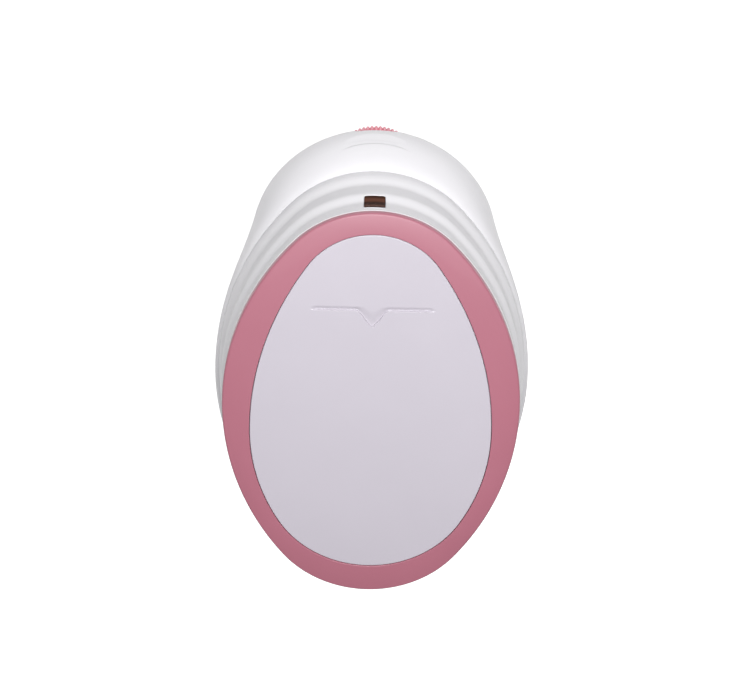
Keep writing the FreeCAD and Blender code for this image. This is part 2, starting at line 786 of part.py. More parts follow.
def make_status_led():
    centre = "(window_low + window_high) / 2"
    front = "face_y + face_top + rim - front_wall - lamp_gap"
    lamp = cylinder("lamp_bulb", "lamp_radius", "lamp_length", "0", f"{front} - lamp_length", centre, "Y")
    keep("status_led", lamp)
    leads = []
    for side, sign in SIDES:
        x = f"{sign} * lead_pitch / 2"
        route = [
            (x, f"{front} - lamp_length", centre),
            (x, "lead_bend_y", centre),
            (x, "lead_bend_y", "board_top"),
        ]
        leads.append(wire_tube(f"lamp_lead_{side}", route, size("lead_bend"), size("lead_radius")))
    group("led_leads", leads)


def make_hull(name, shrink, numbers, lowest, straight):
    """The rear hull's form through level sections, moved inwards by a wall."""
    first = loose_sketch(name + "_section0", "parting - hull_seam")
    draw_egg(first, FACE.offset(f"step_outer - ({shrink})"))
    sections = [first]
    for number in numbers:
        sketch = loose_sketch(f"{name}_section{number}", f"hull{number}_z")
        draw_egg(sketch, hull_section(number).offset(f"-({shrink})"))
        sections.append(sketch)
    neck = loose_sketch(name + "_neck", lowest)
    draw_egg(neck, NECK.offset(f"-({shrink})"))
    sections.append(neck)
    loft = doc.addObject("Part::Loft", name)
    loft.Sections = sections
    loft.Solid = True
    loft.Ruled = straight
    return loft


def round_hull(hull):
    """Rounds the hull's lower rim, where the probe stands out of it."""
    doc.recompute()
    rim = level_edges(hull.Shape, size("neck_z"))
    radius = size("hull_round")
    rounded = doc.addObject("Part::Fillet", "hull_rounded")
    rounded.Base = hull
    rounded.Edges = [(int(name[4:]), radius, radius) for name in rim]
    return rounded


def make_rear_shell():
    outside = round_hull(make_hull("hull_outside", "0", (1, 2, 3), "neck_z", False))
    inside = make_hull("hull_inside", "hull_wall", (2, 3), "hull_floor", True)
    bosses = []
    for number, (x, y) in enumerate(CASE_SCREWS):
        bosses.append(cylinder(f"rear_boss_{number}", "rear_boss", "parting", x, y, "0"))
    hollow = cut("hull_hollow", inside, fuse("rear_bosses", bosses))
    wide_top = box("boss_gap_slab", "-60", "60", "-90", "90", "parting - boss_gap", "parting + 5")
    tools = [hollow, wide_top]
    for number, (x, y) in enumerate(CASE_SCREWS):
        hole = cylinder(f"screw_hole_{number}", "screw_shank + screw_play", "parting", x, y, "1")
        sink = cylinder(f"screw_sink_{number}", "screw_head + screw_play", "screw_seat", x, y, "0")
        tools += [hole, sink]
    tools.append(cylinder("probe_hole", "cup_radius + cup_gap", "hull_floor + 1", "0", "0", "0"))
    slot = cylinder("wheel_slot", "wheel_radius + wheel_gap", "wheel_thick + 2 * slot_play", "0", "wheel_y",
                    "wheel_low - slot_play")
    tools.append(slot)
    recess_side = box("recess_side", "-recess_half", "recess_half", "recess_y - 6", "recess_y + 6",
                      "recess_low", "recess_high")
    foot_y = "recess_y + recess_high * tan(recess_tilt) - recess_radius / cos(recess_tilt)"
    recess_core = cylinder("recess_core", "recess_radius", "2 * parting", "0", foot_y, "0")
    recess_core.setExpression("Placement.Rotation.Angle", cells("recess_tilt"))
    recess_core.Placement.Rotation = Rotation(Vector(1, 0, 0), size("recess_tilt"))
    tools.append(cut("thumb_recess", recess_side, recess_core))
    for side, sign in SIDES:
        x = f"{sign} * socket_x"
        tools.append(cylinder(f"socket_hole_{side}", "socket_nose + socket_gap", "20", x,
                              "socket_front_y", "socket_z", "Y"))
        tools.append(cylinder(f"socket_spot_{side}", "spot_radius", "12", x,
                              "socket_end_y - spot_gap", "socket_z", "Y"))
    keep("rear_shell", cut("rear_shell", outside, fuse("rear_shell_tools", tools)))


def make_thumbwheel():
    body = new_body("thumbwheel")
    rim = new_sketch(body, "wheel_outline", "wheel_low")
    draw_circle(rim, "0", "0", "wheel_radius")
    pad(body, rim, "wheel_thick", "wheel_disc")
    hub = new_sketch(body, "screw_circle", "wheel_low")
    draw_circle(hub, "0", "0", "wheel_screw_radius + shaft_play")
    pocket(body, hub, "wheel_thick", "screw_bore", up=True)
    sink = new_sketch(body, "sink_circle", "wheel_low + wheel_thick")
    draw_circle(sink, "0", "0", "wheel_hub")
    pocket(body, sink, "wheel_sink", "screw_sink")
    notch = new_sketch(body, "notch_outline", "wheel_low - 1")
    pitch = "3.14159265 * wheel_radius / wheel_teeth"
    draw_polygon(notch, [
        ("wheel_radius - tooth_depth", "0"),
        ("wheel_radius + 0.2", f"-{pitch} * 0.72"),
        ("wheel_radius + 0.2", f"{pitch} * 0.72"),
    ])
    first = pocket(body, notch, "wheel_thick + 2", "tooth_gap", up=True)
    pattern = body.newObject("PartDesign::PolarPattern", "tooth_gaps")
    pattern.Originals = [first]
    pattern.Axis = (notch, ["N_Axis"])
    pattern.Angle = 360.0
    pattern.Occurrences = int(size("wheel_teeth"))
    body.Tip = pattern
    bind(body, "Placement.Base.y", "wheel_y")


def make_potentiometer():
    height = "wheel_low - pot_gap - board_top"
    floor = "board_top + pot_floor"
    can = cylinder("pot_can", "pot_radius", height, "0", "wheel_y", "board_top")
    bore = cylinder("pot_bore", "wheel_screw_radius + shaft_play", height, "0", "wheel_y", floor)
    keep("potentiometer", cut("potentiometer", can, bore))


def make_wheel_screw():
    """A pan head in the wheel's sink, on a shank that turns in the potentiometer."""
    seat = "wheel_low + wheel_thick - wheel_sink"
    foot = "board_top + pot_floor + shaft_end_play"
    head = cylinder("wheel_screw_head", "wheel_screw_head", "wheel_screw_height", "0", "wheel_y", seat)
    shank = cylinder("wheel_screw_shank", "wheel_screw_radius", f"{seat} - ({foot})", "0", "wheel_y", foot)
    keep("wheel_screw", fuse("wheel_screw", [head, shank]))


def make_main_board():
    body = new_body("main_board")
    outline = new_sketch(body, "board_outline", "board_low")
    draw_box(outline, "-board_half", "board_half", "board_bottom_y", "board_top_y")
    plate = pad(body, outline, "board_thick", "board_pad")
    doc.recompute()
    corners = []
    for number, edge in enumerate(plate.Shape.Edges, 1):
        if edge.BoundBox.ZLength > 1:
            corners.append(f"Edge{number}")
    round_edges(body, plate, corners, "board_corner", "board_corners")
    holes = new_sketch(body, "board_hole_circles", "board_low")
    for x, y in BOARD_POSTS:
        draw_circle(holes, x, y, "board_hole")
    pocket(body, holes, "board_thick", "board_holes", up=True)


def make_board_parts():
    chips = []
    for number, (x, y, half) in enumerate(CHIPS):
        chips.append(box(f"chip_{number}", f"{x - half}", f"{x + half}", f"{y - half}", f"{y + half}",
                         "board_top", "board_top + chip_height"))
    group("board_chips", chips)
    cans = []
    for number, (x, y) in enumerate(CAPACITORS):
        cans.append(cylinder(f"capacitor_{number}", "capacitor_radius", "capacitor_height",
                             f"{x}", f"{y}", "board_top"))
    group("board_capacitors", cans)
    screws = []
    for number, (x, y) in enumerate(BOARD_POSTS):
        head = cylinder(f"board_screw_head_{number}", "board_screw_head", "board_screw_height", x, y,
                        "board_low - board_screw_height")
        shank = cylinder(f"board_screw_shank_{number}", "board_screw_shank", "board_screw_length", x, y,
                         "board_low - 0.1")
        screws.append(fuse(f"board_screw_{number}", [head, shank]))
    group("board_screws", screws)


def make_case_screws():
    screws = []
    for number, (x, y) in enumerate(CASE_SCREWS):
        head = cylinder(f"case_screw_head_{number}", "screw_head", "screw_head_height", x, y,
                        "screw_seat - screw_head_height")
        shank = cylinder(f"case_screw_shank_{number}", "screw_shank", "screw_length", x, y, "screw_seat - 0.1")
        screws.append(fuse(f"case_screw_{number}", [head, shank]))
    group("case_screws", screws)


def make_battery():
    body = new_body("battery_case")
    outline = new_sketch(body, "battery_outline", "-battery_start", "XZ_Plane")
    draw_box(outline, "-battery_half", "battery_half", "well_floor", "well_floor + battery_height")
    block = pad(body, outline, "battery_length", "battery_block", down=True)
    doc.recompute()
    long_edges = []
    for number, edge in enumerate(block.Shape.Edges, 1):
        if edge.BoundBox.YLength > 10:
            long_edges.append(f"Edge{number}")
    round_edges(body, block, long_edges, "battery_corner", "battery_corners")
    end = "battery_end"
    middle = "battery_middle"
    studs = []
    for side, sign in SIDES:
        studs.append(cylinder(f"terminal_{side}", "terminal_radius", "terminal_height",
                              f"{sign} * terminal_pitch / 2", end, middle, "Y"))
    group("battery_terminals", studs)
    plate = box("clip_plate", "-clip_half", "clip_half", f"{end} + clip_gap", f"{end} + clip_gap + clip_thick",
                f"{middle} - clip_height / 2", f"{middle} + clip_height / 2")
    bores = []
    for side, sign in SIDES:
        bores.append(cylinder(f"clip_bore_{side}", "terminal_radius + stud_play", "terminal_height + stud_play",
                              f"{sign} * terminal_pitch / 2", end, middle, "Y"))
    keep("battery_clip", cut("battery_clip", plate, fuse("clip_bores", bores)))
    leads = []
    for side, sign in SIDES:
        route = [
            (f"{sign} * battery_lead_x", f"{end} + clip_gap + clip_thick", middle),
            (f"{sign} * battery_lead_x", "battery_lead_y", middle),
            (f"{sign} * battery_lead_x", "battery_lead_y", "board_top"),
        ]
        leads.append(wire_tube(f"battery_lead_{side}", route, size("battery_lead_bend"), size("battery_lead")))
    group("battery_leads", leads)


def make_earphone_sockets():
    for side, sign in SIDES:
        x = f"{sign} * socket_x"
        case = box(f"socket_case_{side}", f"{x} - socket_body_half", f"{x} + socket_body_half",
                   "socket_back_y", "socket_front_y", "board_low - socket_body_height", "board_low")
        nose = cylinder(f"socket_nose_{side}", "socket_nose", "socket_end_y - socket_front_y + 0.1", x,
                        "socket_front_y - 0.1", "socket_z", "Y")
        bore = cylinder(f"socket_bore_{side}", "socket_bore", "socket_end_y - socket_back_y", x,
                        "socket_back_y + socket_back_wall", "socket_z", "Y")
        solid = fuse(f"socket_solid_{side}", [case, nose])
        name = f"earphone_socket_{side}"
        keep(name, cut(name, solid, bore))


def revolve(name, points):
    """A body turned about the probe's axis from corners given as radius and height."""
    body = new_body(name)
    sketch = new_sketch(body, name + "_section", "0", "XZ_Plane")
    draw_polygon(sketch, points)
    turned = body.newObject("PartDesign::Revolution", name + "_turned")
    turned.Profile = sketch
    turned.ReferenceAxis = (sketch, ["V_Axis"])
    turned.Angle = 360.0
    return body


def make_probe():
    housing = revolve("probe_housing", [
        ("cup_radius - cup_wall", "cup_rim"),
        ("cup_radius", "cup_rim"),
        ("cup_radius", "cup_top - cup_flange_thick"),
        ("cup_flange", "cup_top - cup_flange_thick"),
        ("cup_flange", "cup_top"),
        ("cup_radius - cup_wall", "cup_top"),
    ])
    doc.recompute()
    base = housing.Tip
    bevel = housing.newObject("PartDesign::Chamfer", "cup_edge")
    bevel.Base = (base, level_edges(base.Shape, size("cup_rim"), 2 * math.pi * size("cup_radius - 0.5")))
    bind(bevel, "Size", "cup_bevel")
    face_radius = "cup_radius - cup_wall - bond_gap"
    face = revolve("probe_face", [
        ("0", "0"),
        (face_radius, "0"),
        (face_radius, "face_thick"),
        ("0", "face_thick"),
    ])
    doc.recompute()
    disc = face.Tip
    round_edges(face, disc, level_edges(disc.Shape, 0.0, 1.0), "face_round", "face_edge")
    gasket_out = cylinder("gasket_outside", "cup_flange", "gasket_thick", "0", "0",
                          "hull_floor")
    gasket_in = cylinder("gasket_inside", "cup_radius + gasket_gap", "10", "0", "0", "hull_floor - 1")
    keep("probe_gasket", cut("probe_gasket", gasket_out, gasket_in))
    for name, low, high in (("transmit_crystal", "crystal_split / 2", "30"),
                            ("receive_crystal", "-30", "-crystal_split / 2")):
        whole = cylinder(name + "_disc", "crystal_radius", "crystal_thick", "0", "0", "face_thick")
        half = box(name + "_half", low, high, "-30", "30", "face_thick", "face_thick + crystal_thick")
        keep(name, common(name, whole, half))
    split = "crystal_split / 2 - bond_gap"
    keep("crystal_divider", box("crystal_divider", f"-({split})", split, "-crystal_radius", "crystal_radius",
                                "face_thick", "backing_top"))
    disc = cylinder("backing_disc", "crystal_radius", "backing_top - face_thick - crystal_thick", "0", "0",
                    "face_thick + crystal_thick")
    gap = box("backing_gap", "-crystal_split / 2", "crystal_split / 2", "-30", "30",
              "face_thick", "backing_top + 1")
    keep("backing_foam", cut("backing_foam", disc, gap))
    can = cylinder("can_outside", "can_radius", "can_top - face_thick", "0", "0", "face_thick")
    can_in = cylinder("can_inside", "can_radius - can_wall", "can_top - can_wall - face_thick + 1", "0", "0",
                      "face_thick - 1")
    hole = cylinder("can_hole", "coax + coax_play", "5", "0", "coax_y", "can_top - 2")
    keep("shield_can", cut("shield_can", can, fuse("can_tools", [can_in, hole])))
    coax = cylinder("probe_cable", "coax", "board_low - can_top + 3", "0", "coax_y", "can_top - 3")
    keep("probe_cable", coax)


def build():
    make_front_shell()
    make_rear_shell()
    make_ring_trim()
    make_cover_panel()
    make_cover_foam()
    make_led_window()
    make_status_led()
    make_thumbwheel()
    make_potentiometer()
    make_wheel_screw()
    make_main_board()
    make_board_parts()
    make_case_screws()
    make_battery()
    make_earphone_sockets()
    make_probe()
    doc.recompute()


def check_and_export():
    """Stops on a failed object or a bad shape, then writes one file for each node."""
    for obj in doc.Objects:
        if "Invalid" in obj.State or "Error" in obj.State:
            raise RuntimeError(f"{obj.Label} failed: {obj.State}")
    for name, obj in nodes.items():
        if obj.Shape.isNull() or not obj.Shape.isValid():
            raise RuntimeError(f"{name} has a bad shape")
    os.makedirs("parts", exist_ok=True)
    for name, obj in nodes.items():
        obj.Shape.exportStep(os.path.join("parts", name + ".step"))
        box_now = obj.Shape.optimalBoundingBox(True, False)
        print(f"{name:24s} solids {len(obj.Shape.Solids)} volume {obj.Shape.Volume:10.1f} "
              f"X {box_now.XMin:7.2f} {box_now.XMax:7.2f} Y {box_now.YMin:7.2f} {box_now.YMax:7.2f} "
              f"Z {box_now.ZMin:6.2f} {box_now.ZMax:6.2f}")


build()
check_and_export()
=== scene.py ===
import json
import math

import bmesh
import bpy
import numpy as np
from bpy.props import FloatProperty, FloatVectorProperty, IntProperty, PointerProperty
from mathutils import Matrix


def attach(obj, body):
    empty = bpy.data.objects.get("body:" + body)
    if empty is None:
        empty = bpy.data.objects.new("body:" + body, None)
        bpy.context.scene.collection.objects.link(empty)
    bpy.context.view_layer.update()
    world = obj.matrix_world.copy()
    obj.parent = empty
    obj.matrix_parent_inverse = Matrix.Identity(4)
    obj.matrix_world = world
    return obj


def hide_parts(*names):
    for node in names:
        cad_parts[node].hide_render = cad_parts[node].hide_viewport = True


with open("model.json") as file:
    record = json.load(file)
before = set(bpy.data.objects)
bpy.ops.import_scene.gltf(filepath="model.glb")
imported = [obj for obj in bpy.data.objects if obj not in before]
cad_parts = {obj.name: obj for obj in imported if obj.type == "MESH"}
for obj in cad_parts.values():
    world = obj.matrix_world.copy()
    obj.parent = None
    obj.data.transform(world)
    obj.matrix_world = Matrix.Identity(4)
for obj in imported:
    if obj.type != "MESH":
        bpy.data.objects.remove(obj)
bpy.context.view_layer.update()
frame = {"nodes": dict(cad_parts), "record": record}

bl_info = {
    "name": "Fetal doppler monitor",
    "version": (1, 0, 0),
    "blender": (4, 5, 0),
    "location": "View3D > Sidebar > Doppler",
    "description": "Builds a pocket fetal doppler monitor on its CAD frame",
    "category": "Add Mesh",
}

# Metres throughout. +Z goes from the probe's contact face to the cover, +Y to the thumbwheel end.
MM = 0.001
CASING, COVER, WHEEL = "casing", "battery_cover", "volume_wheel"


def length(name, words, value):
    """A size property that is shown in the scene's units."""
    return FloatProperty(name=name, description=words, default=value * MM, unit="LENGTH", precision=5)


def outline(name, words, values):
    """Six lengths of an egg outline."""
    sizes = [v * MM for v in values]
    return FloatVectorProperty(name=name, description=words, size=6, default=sizes, unit="LENGTH", precision=5)


def colour(name, words, value):
    """A linear colour property."""
    return FloatVectorProperty(name=name, description=words, size=3, default=value, subtype="COLOR", min=0, max=1)


EGG_WORDS = "Widest line, half width, upper height, lower height, upper and lower flank radius"


class DopplerSizes(bpy.types.PropertyGroup):
    """Sizes of the pieces that are drawn anew."""

    face: outline("Face outline", EGG_WORDS, (-9.5, 35.4, 50.0, 51.5, 60.8, 66.5))
    panel: outline("Panel outline", EGG_WORDS, (-15.9, 28.9, 51.3, 37.6, 75.8, 48.9))
    apex: length("Apex", "Height of the crowned face", 60.0)
    crown: length("Crown", "Radius of the face's crown", 600.0)
    seam: length("Cover seam", "Gap between the panel and its rim", 0.12)
    drop: length("Panel drop", "How far the panel lies under its rim", 0.12)
    rim_round: length("Rim round", "Radius along the rim's outer edge", 0.6)
    rim_edge: length("Rim inner edge", "Radius along the rim's inner edge", 0.15)
    panel_edge: length("Panel edge", "Radius along the panel's edge", 0.22)
    cover_low: length("Cover underside", "Height of the cover's underside", 56.2)
    flange_top: length("Flange top", "Height of the panel's flange", 57.2)
    flange_inset: length("Flange inset", "Flange inside the rim's outline", 1.6)
    ring_roll: length("Rim roll", "How far the rim falls away towards its outer edge", 0.3)
    ledge_y: length("Ledge line", "Place of the thumb ledge along the cover", 16.65)
    ledge_half: length("Ledge half", "Half the ledge's length", 14.5)
    ledge_rise: length("Ledge ramp", "Width of the ramp above the ledge", 0.95)
    ledge_depth: length("Ledge depth", "How deep the ramp runs", 0.35)
    ledge_wall: length("Ledge wall", "Width of the step back up under the ramp", 0.26)
    vee_half: length("Arrow half", "Half the width of the arrow in the ledge", 3.4)
    vee_drop: length("Arrow drop", "How far the arrow points down", 3.95)
    vee_blunt: length("Arrow tip", "Roundness of the arrow's tip", 0.5)
    vee_inner_half: length("Ramp notch half", "Half the width of the notch above the ramp", 1.9)
    vee_inner_drop: length("Ramp notch drop", "Depth of the notch above the ramp", 1.2)
    wall_low: length("Parting line", "Height where the front and rear shells meet", 37.4)
    wall_top: length("Wall top", "Top of the front shell's wall", 56.0)
    wall_out: length("Wall foot", "Front wall outside the face outline at the parting line", 1.9)
    wall_in: length("Wall head", "Front wall outside the face outline at its top", 0.1)
    crest_low: length("Lower crest", "Height where the lower step leans back most", 41.1)
    crest_high: length("Upper crest", "Height where the upper step leans back most", 49.5)
    crest_width: length("Crest width", "Height that each step's lean takes", 4.6)
    window_half: length("Window half", "Half the lamp opening's width", 2.5)
    window_low: length("Window low", "Lower edge of the lamp opening", 48.7)
    window_high: length("Window high", "Upper edge of the lamp opening", 54.4)
    window_round: length("Window corners", "Radius of the lamp opening's corners", 0.5)
    window_lip: length("Window lip", "Rounding round the lamp opening", 0.15)
    window_gap: length("Window gap", "Clearance round the lens", 0.06)
    window_depth: length("Window depth", "Depth of the opening's side walls", 1.5)
    wheel_y: length("Wheel place", "The thumbwheel's axis along the body", 36.6)
    wheel_radius: length("Wheel radius", "Over the teeth", 11.5)
    wheel_low: length("Wheel underside", "Height of the wheel's underside", 22.8)
    wheel_thick: length("Wheel thickness", "Thickness of the wheel", 2.6)
    wheel_sink: length("Screw sink", "Depth of the sink for the wheel's screw", 1.3)
    wheel_hub: length("Sink radius", "Radius of the sink for the wheel's screw", 3.2)
    wheel_bore: length("Wheel bore", "Radius of the wheel's bore", 1.05)
    tooth_depth: length("Tooth depth", "Depth of the knurling", 0.45)
    teeth: IntProperty(name="Teeth", description="Teeth around the thumbwheel", default=70, min=12, max=160)


class DopplerColours(bpy.types.PropertyGroup):
    """Colours of the main finishes."""

    shell: colour("Shell", "White body shells", (0.75, 0.74, 0.765))
    panel: colour("Panel", "White cover panel", (0.535, 0.502, 0.560))
    trim: colour("Trim", "Pink rim of the cover", (0.412, 0.146, 0.196))
    wheel: colour("Wheel", "Pink thumbwheel", (0.84, 0.30, 0.37))
    lens: colour("Lens", "Smoked lamp window", (0.056, 0.024, 0.016))


# ---------------------------------------------------------------- surfaces


def end_radius(half, height, flank):
    """Radius of an egg's end arc, which meets both flank arcs in a line."""
    return (flank**2 - (flank - half) ** 2 - height**2) / (2 * (flank - height))


def egg(shape, turn):
    """An outline of six tangent arcs: the centre of the arc that faces the turn, plus its radius along the turn."""
    widest, half, top, bottom, upper, lower = (np.asarray(v, float) for v in shape)
    cos, sin = np.cos(turn), np.sin(turn)
    above = sin >= 0
    flank = np.where(above, upper, lower)
    height = np.where(above, top, bottom)
    tip = end_radius(half, height, flank)
    at_tip = np.abs(sin) > np.sin(np.arctan2(height - tip, flank - half))
    radius = np.where(at_tip, tip, flank)
    x = np.where(at_tip, 0.0, np.sign(cos) * (half - flank)) + radius * cos
    y = widest + np.where(at_tip, np.where(above, 1, -1) * (height - tip), 0.0) + radius * sin
    return x, y


def grown(shape, by):
    """The same outline moved outwards all round."""
    return (shape[0], *(v + by for v in shape[1:]))


def egg_offset(shape, x, y):
    """How far points stand outside an egg: their distance from the centre of the arc they face, less its radius."""
    widest, half, top, bottom, upper, lower = shape
    above = y >= widest
    flank = np.where(above, upper, lower)
    height = np.where(above, top, bottom)
    tip = end_radius(half, height, flank)
    along, up = np.abs(x), np.abs(y - widest) - (height - tip)
    at_tip = np.arctan2(up, along) > np.arctan2(height - tip, flank - half)
    return np.where(at_tip, np.hypot(x, up) - tip, np.hypot(along + flank - half, y - widest) - flank)


def crown_height(sizes, x, y, drop=0.0):
    """Height of a ball-shaped crown over the face's widest line."""
    away = x**2 + (y - sizes.face[0]) ** 2
    return sizes.apex - drop - sizes.crown + np.sqrt(sizes.crown**2 - away)


def wall_offset(sizes, z):
    """How far the front wall stands outside the face outline.

    Its slope is -0.08 up to 2.6 mm over the parting line and 0.06 above, less T sin^2(pi u / W) over each crest of
    width W, with u from the crest's foot. T follows from the wall's offsets at its foot and head.
    """
    foot, width = sizes.wall_low + 2.6 * MM, sizes.crest_width
    foot_slope, head_slope = -0.08, 0.06

    def lean(height):
        below = np.minimum(height - sizes.wall_low, foot - sizes.wall_low)
        return foot_slope * below + head_slope * np.maximum(height - foot, 0)

    def crest(height, middle):
        u = np.clip(height - middle + width / 2, 0, width)
        return u / 2 - width / (4 * math.pi) * np.sin(math.tau * u / width)

    steepness = (sizes.wall_out - sizes.wall_in + lean(sizes.wall_top)) / width
    crests = crest(z, sizes.crest_low) + crest(z, sizes.crest_high)
    return sizes.wall_out + lean(z) - steepness * crests


def tip_arc(sizes, x, offset, z):
    """Points on the upper end arc of the face outline, moved outwards by an offset."""
    widest, half, top, _, upper, _ = tuple(sizes.face)
    tip = end_radius(half, top, upper)
    return level(x, widest + top - tip + np.sqrt((tip + offset) ** 2 - x**2), z)


def rounded_box(half, low, high, radius, across, up, bend=4):
    """An upright rectangle with round corners, as x and z, from the middle of its lower right corner upwards.

    Each side has `up` or `across` points, of which `bend` lie on the half corner at either end.
    """
    tall = (high - low) / 2
    arc = np.linspace(0, math.pi / 4, bend + 1)
    xs, zs = [], []
    for quarter, count in enumerate((up, across, up, across)):
        reach, run = (half, tall) if quarter % 2 == 0 else (tall, half)
        straight = np.linspace(radius - run, run - radius, count - 2 * bend + 1)
        out = [reach - radius + radius * np.cos(arc[:0:-1]), np.full(len(straight), reach)]
        out.append(reach - radius + radius * np.cos(arc[1:-1]))
        way = [radius - run - radius * np.sin(arc[:0:-1]), straight, run - radius + radius * np.sin(arc[1:-1])]
        out, way = np.concatenate(out), np.concatenate(way)
        cos, sin = ((1, 0), (0, 1), (-1, 0), (0, -1))[quarter]
        xs.append(out * cos - way * sin)
        zs.append(out * sin + way * cos + (low + high) / 2)
    return np.concatenate(xs), np.concatenate(zs)


def smooth(t):
    """Eased step from 0 to 1."""
    t = np.clip(t, 0, 1)
    return t * t * (3 - 2 * t)


def level(x, y, z):
    """One row of points, with one height or one for each."""
    return np.stack([x, y, np.broadcast_to(z, x.shape)], axis=-1)


def grid_faces(rows, columns, loop=False):
    """Four-cornered faces between rows that each close on themselves; loop also joins the last row to the first."""
    i, j = np.meshgrid(np.arange(rows if loop else rows - 1), np.arange(columns), indexing="ij")
    after, beside = (i + 1) % rows, (j + 1) % columns
    corners = (i * columns + j, i * columns + beside, after * columns + beside, after * columns + j)
    return np.stack(corners, axis=-1).reshape(-1, 4)


def pole_faces(pole, first, columns, up):
    """Three-cornered faces from a row to one point."""
    j = np.arange(columns)
    a, b = first + j, first + (j + 1) % columns
    return np.stack([a, b, np.full(columns, pole)] if up else [b, a, np.full(columns, pole)], axis=-1)


def add_piece(name, points, faces, body, material, slot, *nodes, sharp=35.0):
    """Puts points and faces into a mesh piece that rides on a body and stands for CAD nodes."""
    mesh = bpy.data.meshes.new(name)
    mesh.from_pydata(np.asarray(points).reshape(-1, 3).tolist(), [], [f.tolist() for part in faces for f in part])
    mesh.update()
    return settle(name, mesh, body, material, nodes, sharp)


def settle(name, mesh, body, material, nodes, sharp):
    """Shades a mesh and gives it its object, finish, body and CAD nodes."""
    mesh.materials.clear()
    mesh.materials.append(material)
    mesh.shade_smooth()
    mesh.set_sharp_from_angle(angle=math.radians(sharp))
    piece = bpy.data.objects.new(name, mesh)
    bpy.context.scene.collection.objects.link(piece)
    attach(piece, body)
    if nodes:
        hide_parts(*nodes)
    return piece


def merged(node):
    """A copy of a CAD node's mesh with its loose triangles joined."""
    mesh = frame["nodes"][node].data.copy()
    if "custom_normal" in mesh.attributes:
        mesh.attributes.remove(mesh.attributes["custom_normal"])
    work = bmesh.new()
    work.from_mesh(mesh)
    bmesh.ops.remove_doubles(work, verts=work.verts, dist=1e-6)
    bmesh.ops.triangulate(work, faces=work.faces)
    work.to_mesh(mesh)
    work.free()
    return mesh


def smooth_copy(node, body, material, sharp=28.0):
    """A merged copy of a CAD node, so that its curved faces shade as one surface."""
    return settle(node + "_finished", merged(node), body, material, [node], sharp)


def paint(node, material):
    """Gives a CAD node its finish."""
    mesh = frame["nodes"][node].data
    mesh.materials.clear()
    mesh.materials.append(material)


# ---------------------------------------------------------------- finishes


class Finish:
    """A material with one glossy shader and helpers for the nodes that feed it."""

    def __init__(self, name):
        self.material = bpy.data.materials.new(name)
        self.material.use_nodes = True
        self.tree = self.material.node_tree
        self.tree.nodes.clear()
        output = self.add("ShaderNodeOutputMaterial")
        self.shader = self.add("ShaderNodeBsdfPrincipled")
        self.tree.links.new(self.shader.outputs["BSDF"], output.inputs["Surface"])
        self.place = self.add("ShaderNodeTexCoord").outputs["Object"]

    def add(self, kind, **values):
        node = self.tree.nodes.new(kind)
        for name, value in values.items():
            setattr(node, name, value)
        return node

    def link(self, source, target):
        self.tree.links.new(source, target)

    def set(self, **values):
        """Sets the shader's own sockets; underscores stand for spaces."""
        for name, value in values.items():
            self.shader.inputs[name.replace("_", " ")].default_value = value
        return self

    def noise(self, scale, detail=3.0, roughness=0.5):
        node = self.add("ShaderNodeTexNoise")
        node.inputs["Scale"].default_value = scale
        node.inputs["Detail"].default_value = detail
        node.inputs["Roughness"].default_value = roughness
        self.link(self.place, node.inputs["Vector"])
        return node.outputs["Fac"]

    def cells(self, scale, feature="F1"):
        node = self.add("ShaderNodeTexVoronoi", feature=feature)
        node.inputs["Scale"].default_value = scale
        self.link(self.place, node.inputs["Vector"])
        return node.outputs["Distance"]

    def ramp(self, factor, low, high, start=0.3, stop=0.7):
        """Colour that runs from low to high as the factor goes from start to stop."""
        node = self.add("ShaderNodeValToRGB")
        node.color_ramp.elements[0].position = start
        node.color_ramp.elements[1].position = stop
        node.color_ramp.elements[0].color = (*low, 1)
        node.color_ramp.elements[1].color = (*high, 1)
        self.link(factor, node.inputs["Fac"])
        return node.outputs["Color"]

    def range(self, factor, low, high, start=0.3, stop=0.7):
        node = self.add("ShaderNodeMapRange")
        for name, value in (("From Min", start), ("From Max", stop), ("To Min", low), ("To Max", high)):
            node.inputs[name].default_value = value
        self.link(factor, node.inputs["Value"])
        return node.outputs["Result"]

    def ease(self, factor, low, high, start, stop):
        """Like range, but eased at both ends."""
        result = self.range(factor, low, high, start, stop)
        result.node.interpolation_type = "SMOOTHSTEP"
        return result

    def math(self, operation, *values):
        node = self.add("ShaderNodeMath", operation=operation)
        for socket, value in zip(node.inputs, values):
            if isinstance(value, (int, float)):
                socket.default_value = value
            else:
                self.link(value, socket)
        return node.outputs[0]

    def bump(self, height, distance, strength=1.0, under=None):
        node = self.add("ShaderNodeBump")
        node.inputs["Strength"].default_value = strength
        node.inputs["Distance"].default_value = distance
        self.link(height, node.inputs["Height"])
        if under is not None:
            self.link(under, node.inputs["Normal"])
        return node.outputs["Normal"]

    def shade(self, colour=None, roughness=None, normal=None):
        for socket, name in ((colour, "Base Color"), (roughness, "Roughness"), (normal, "Normal")):
            if socket is not None:
                self.link(socket, self.shader.inputs[name])
        return self.material


def tinted(base, by):
    return tuple(min(1.0, c * by) for c in base)


LIP_DEPTH = 0.12 * MM


def moulded(name, base, rough, grain, depth, spread=0.03, lip=None, **values):
    """Injection-moulded plastic: spark-eroded grain, slow flow waves and faint handling variation."""
    finish = Finish(name).set(IOR=1.52, **values)
    drift = finish.noise(38.0, 2.0)
    colours = finish.ramp(drift, tinted(base, 1 - spread), tinted(base, 1 + spread))
    rub = finish.noise(120.0, 4.0, 0.6)
    roughness = finish.range(rub, rough - 0.035, rough + 0.045)
    flow = finish.bump(finish.noise(55.0, 1.0), 6e-6)
    if lip:
        flow = finish.bump(lip(finish), LIP_DEPTH, under=flow)
    texture = finish.bump(finish.noise(grain, 2.0, 0.6), depth, under=flow)
    return finish.shade(colours, roughness, texture)


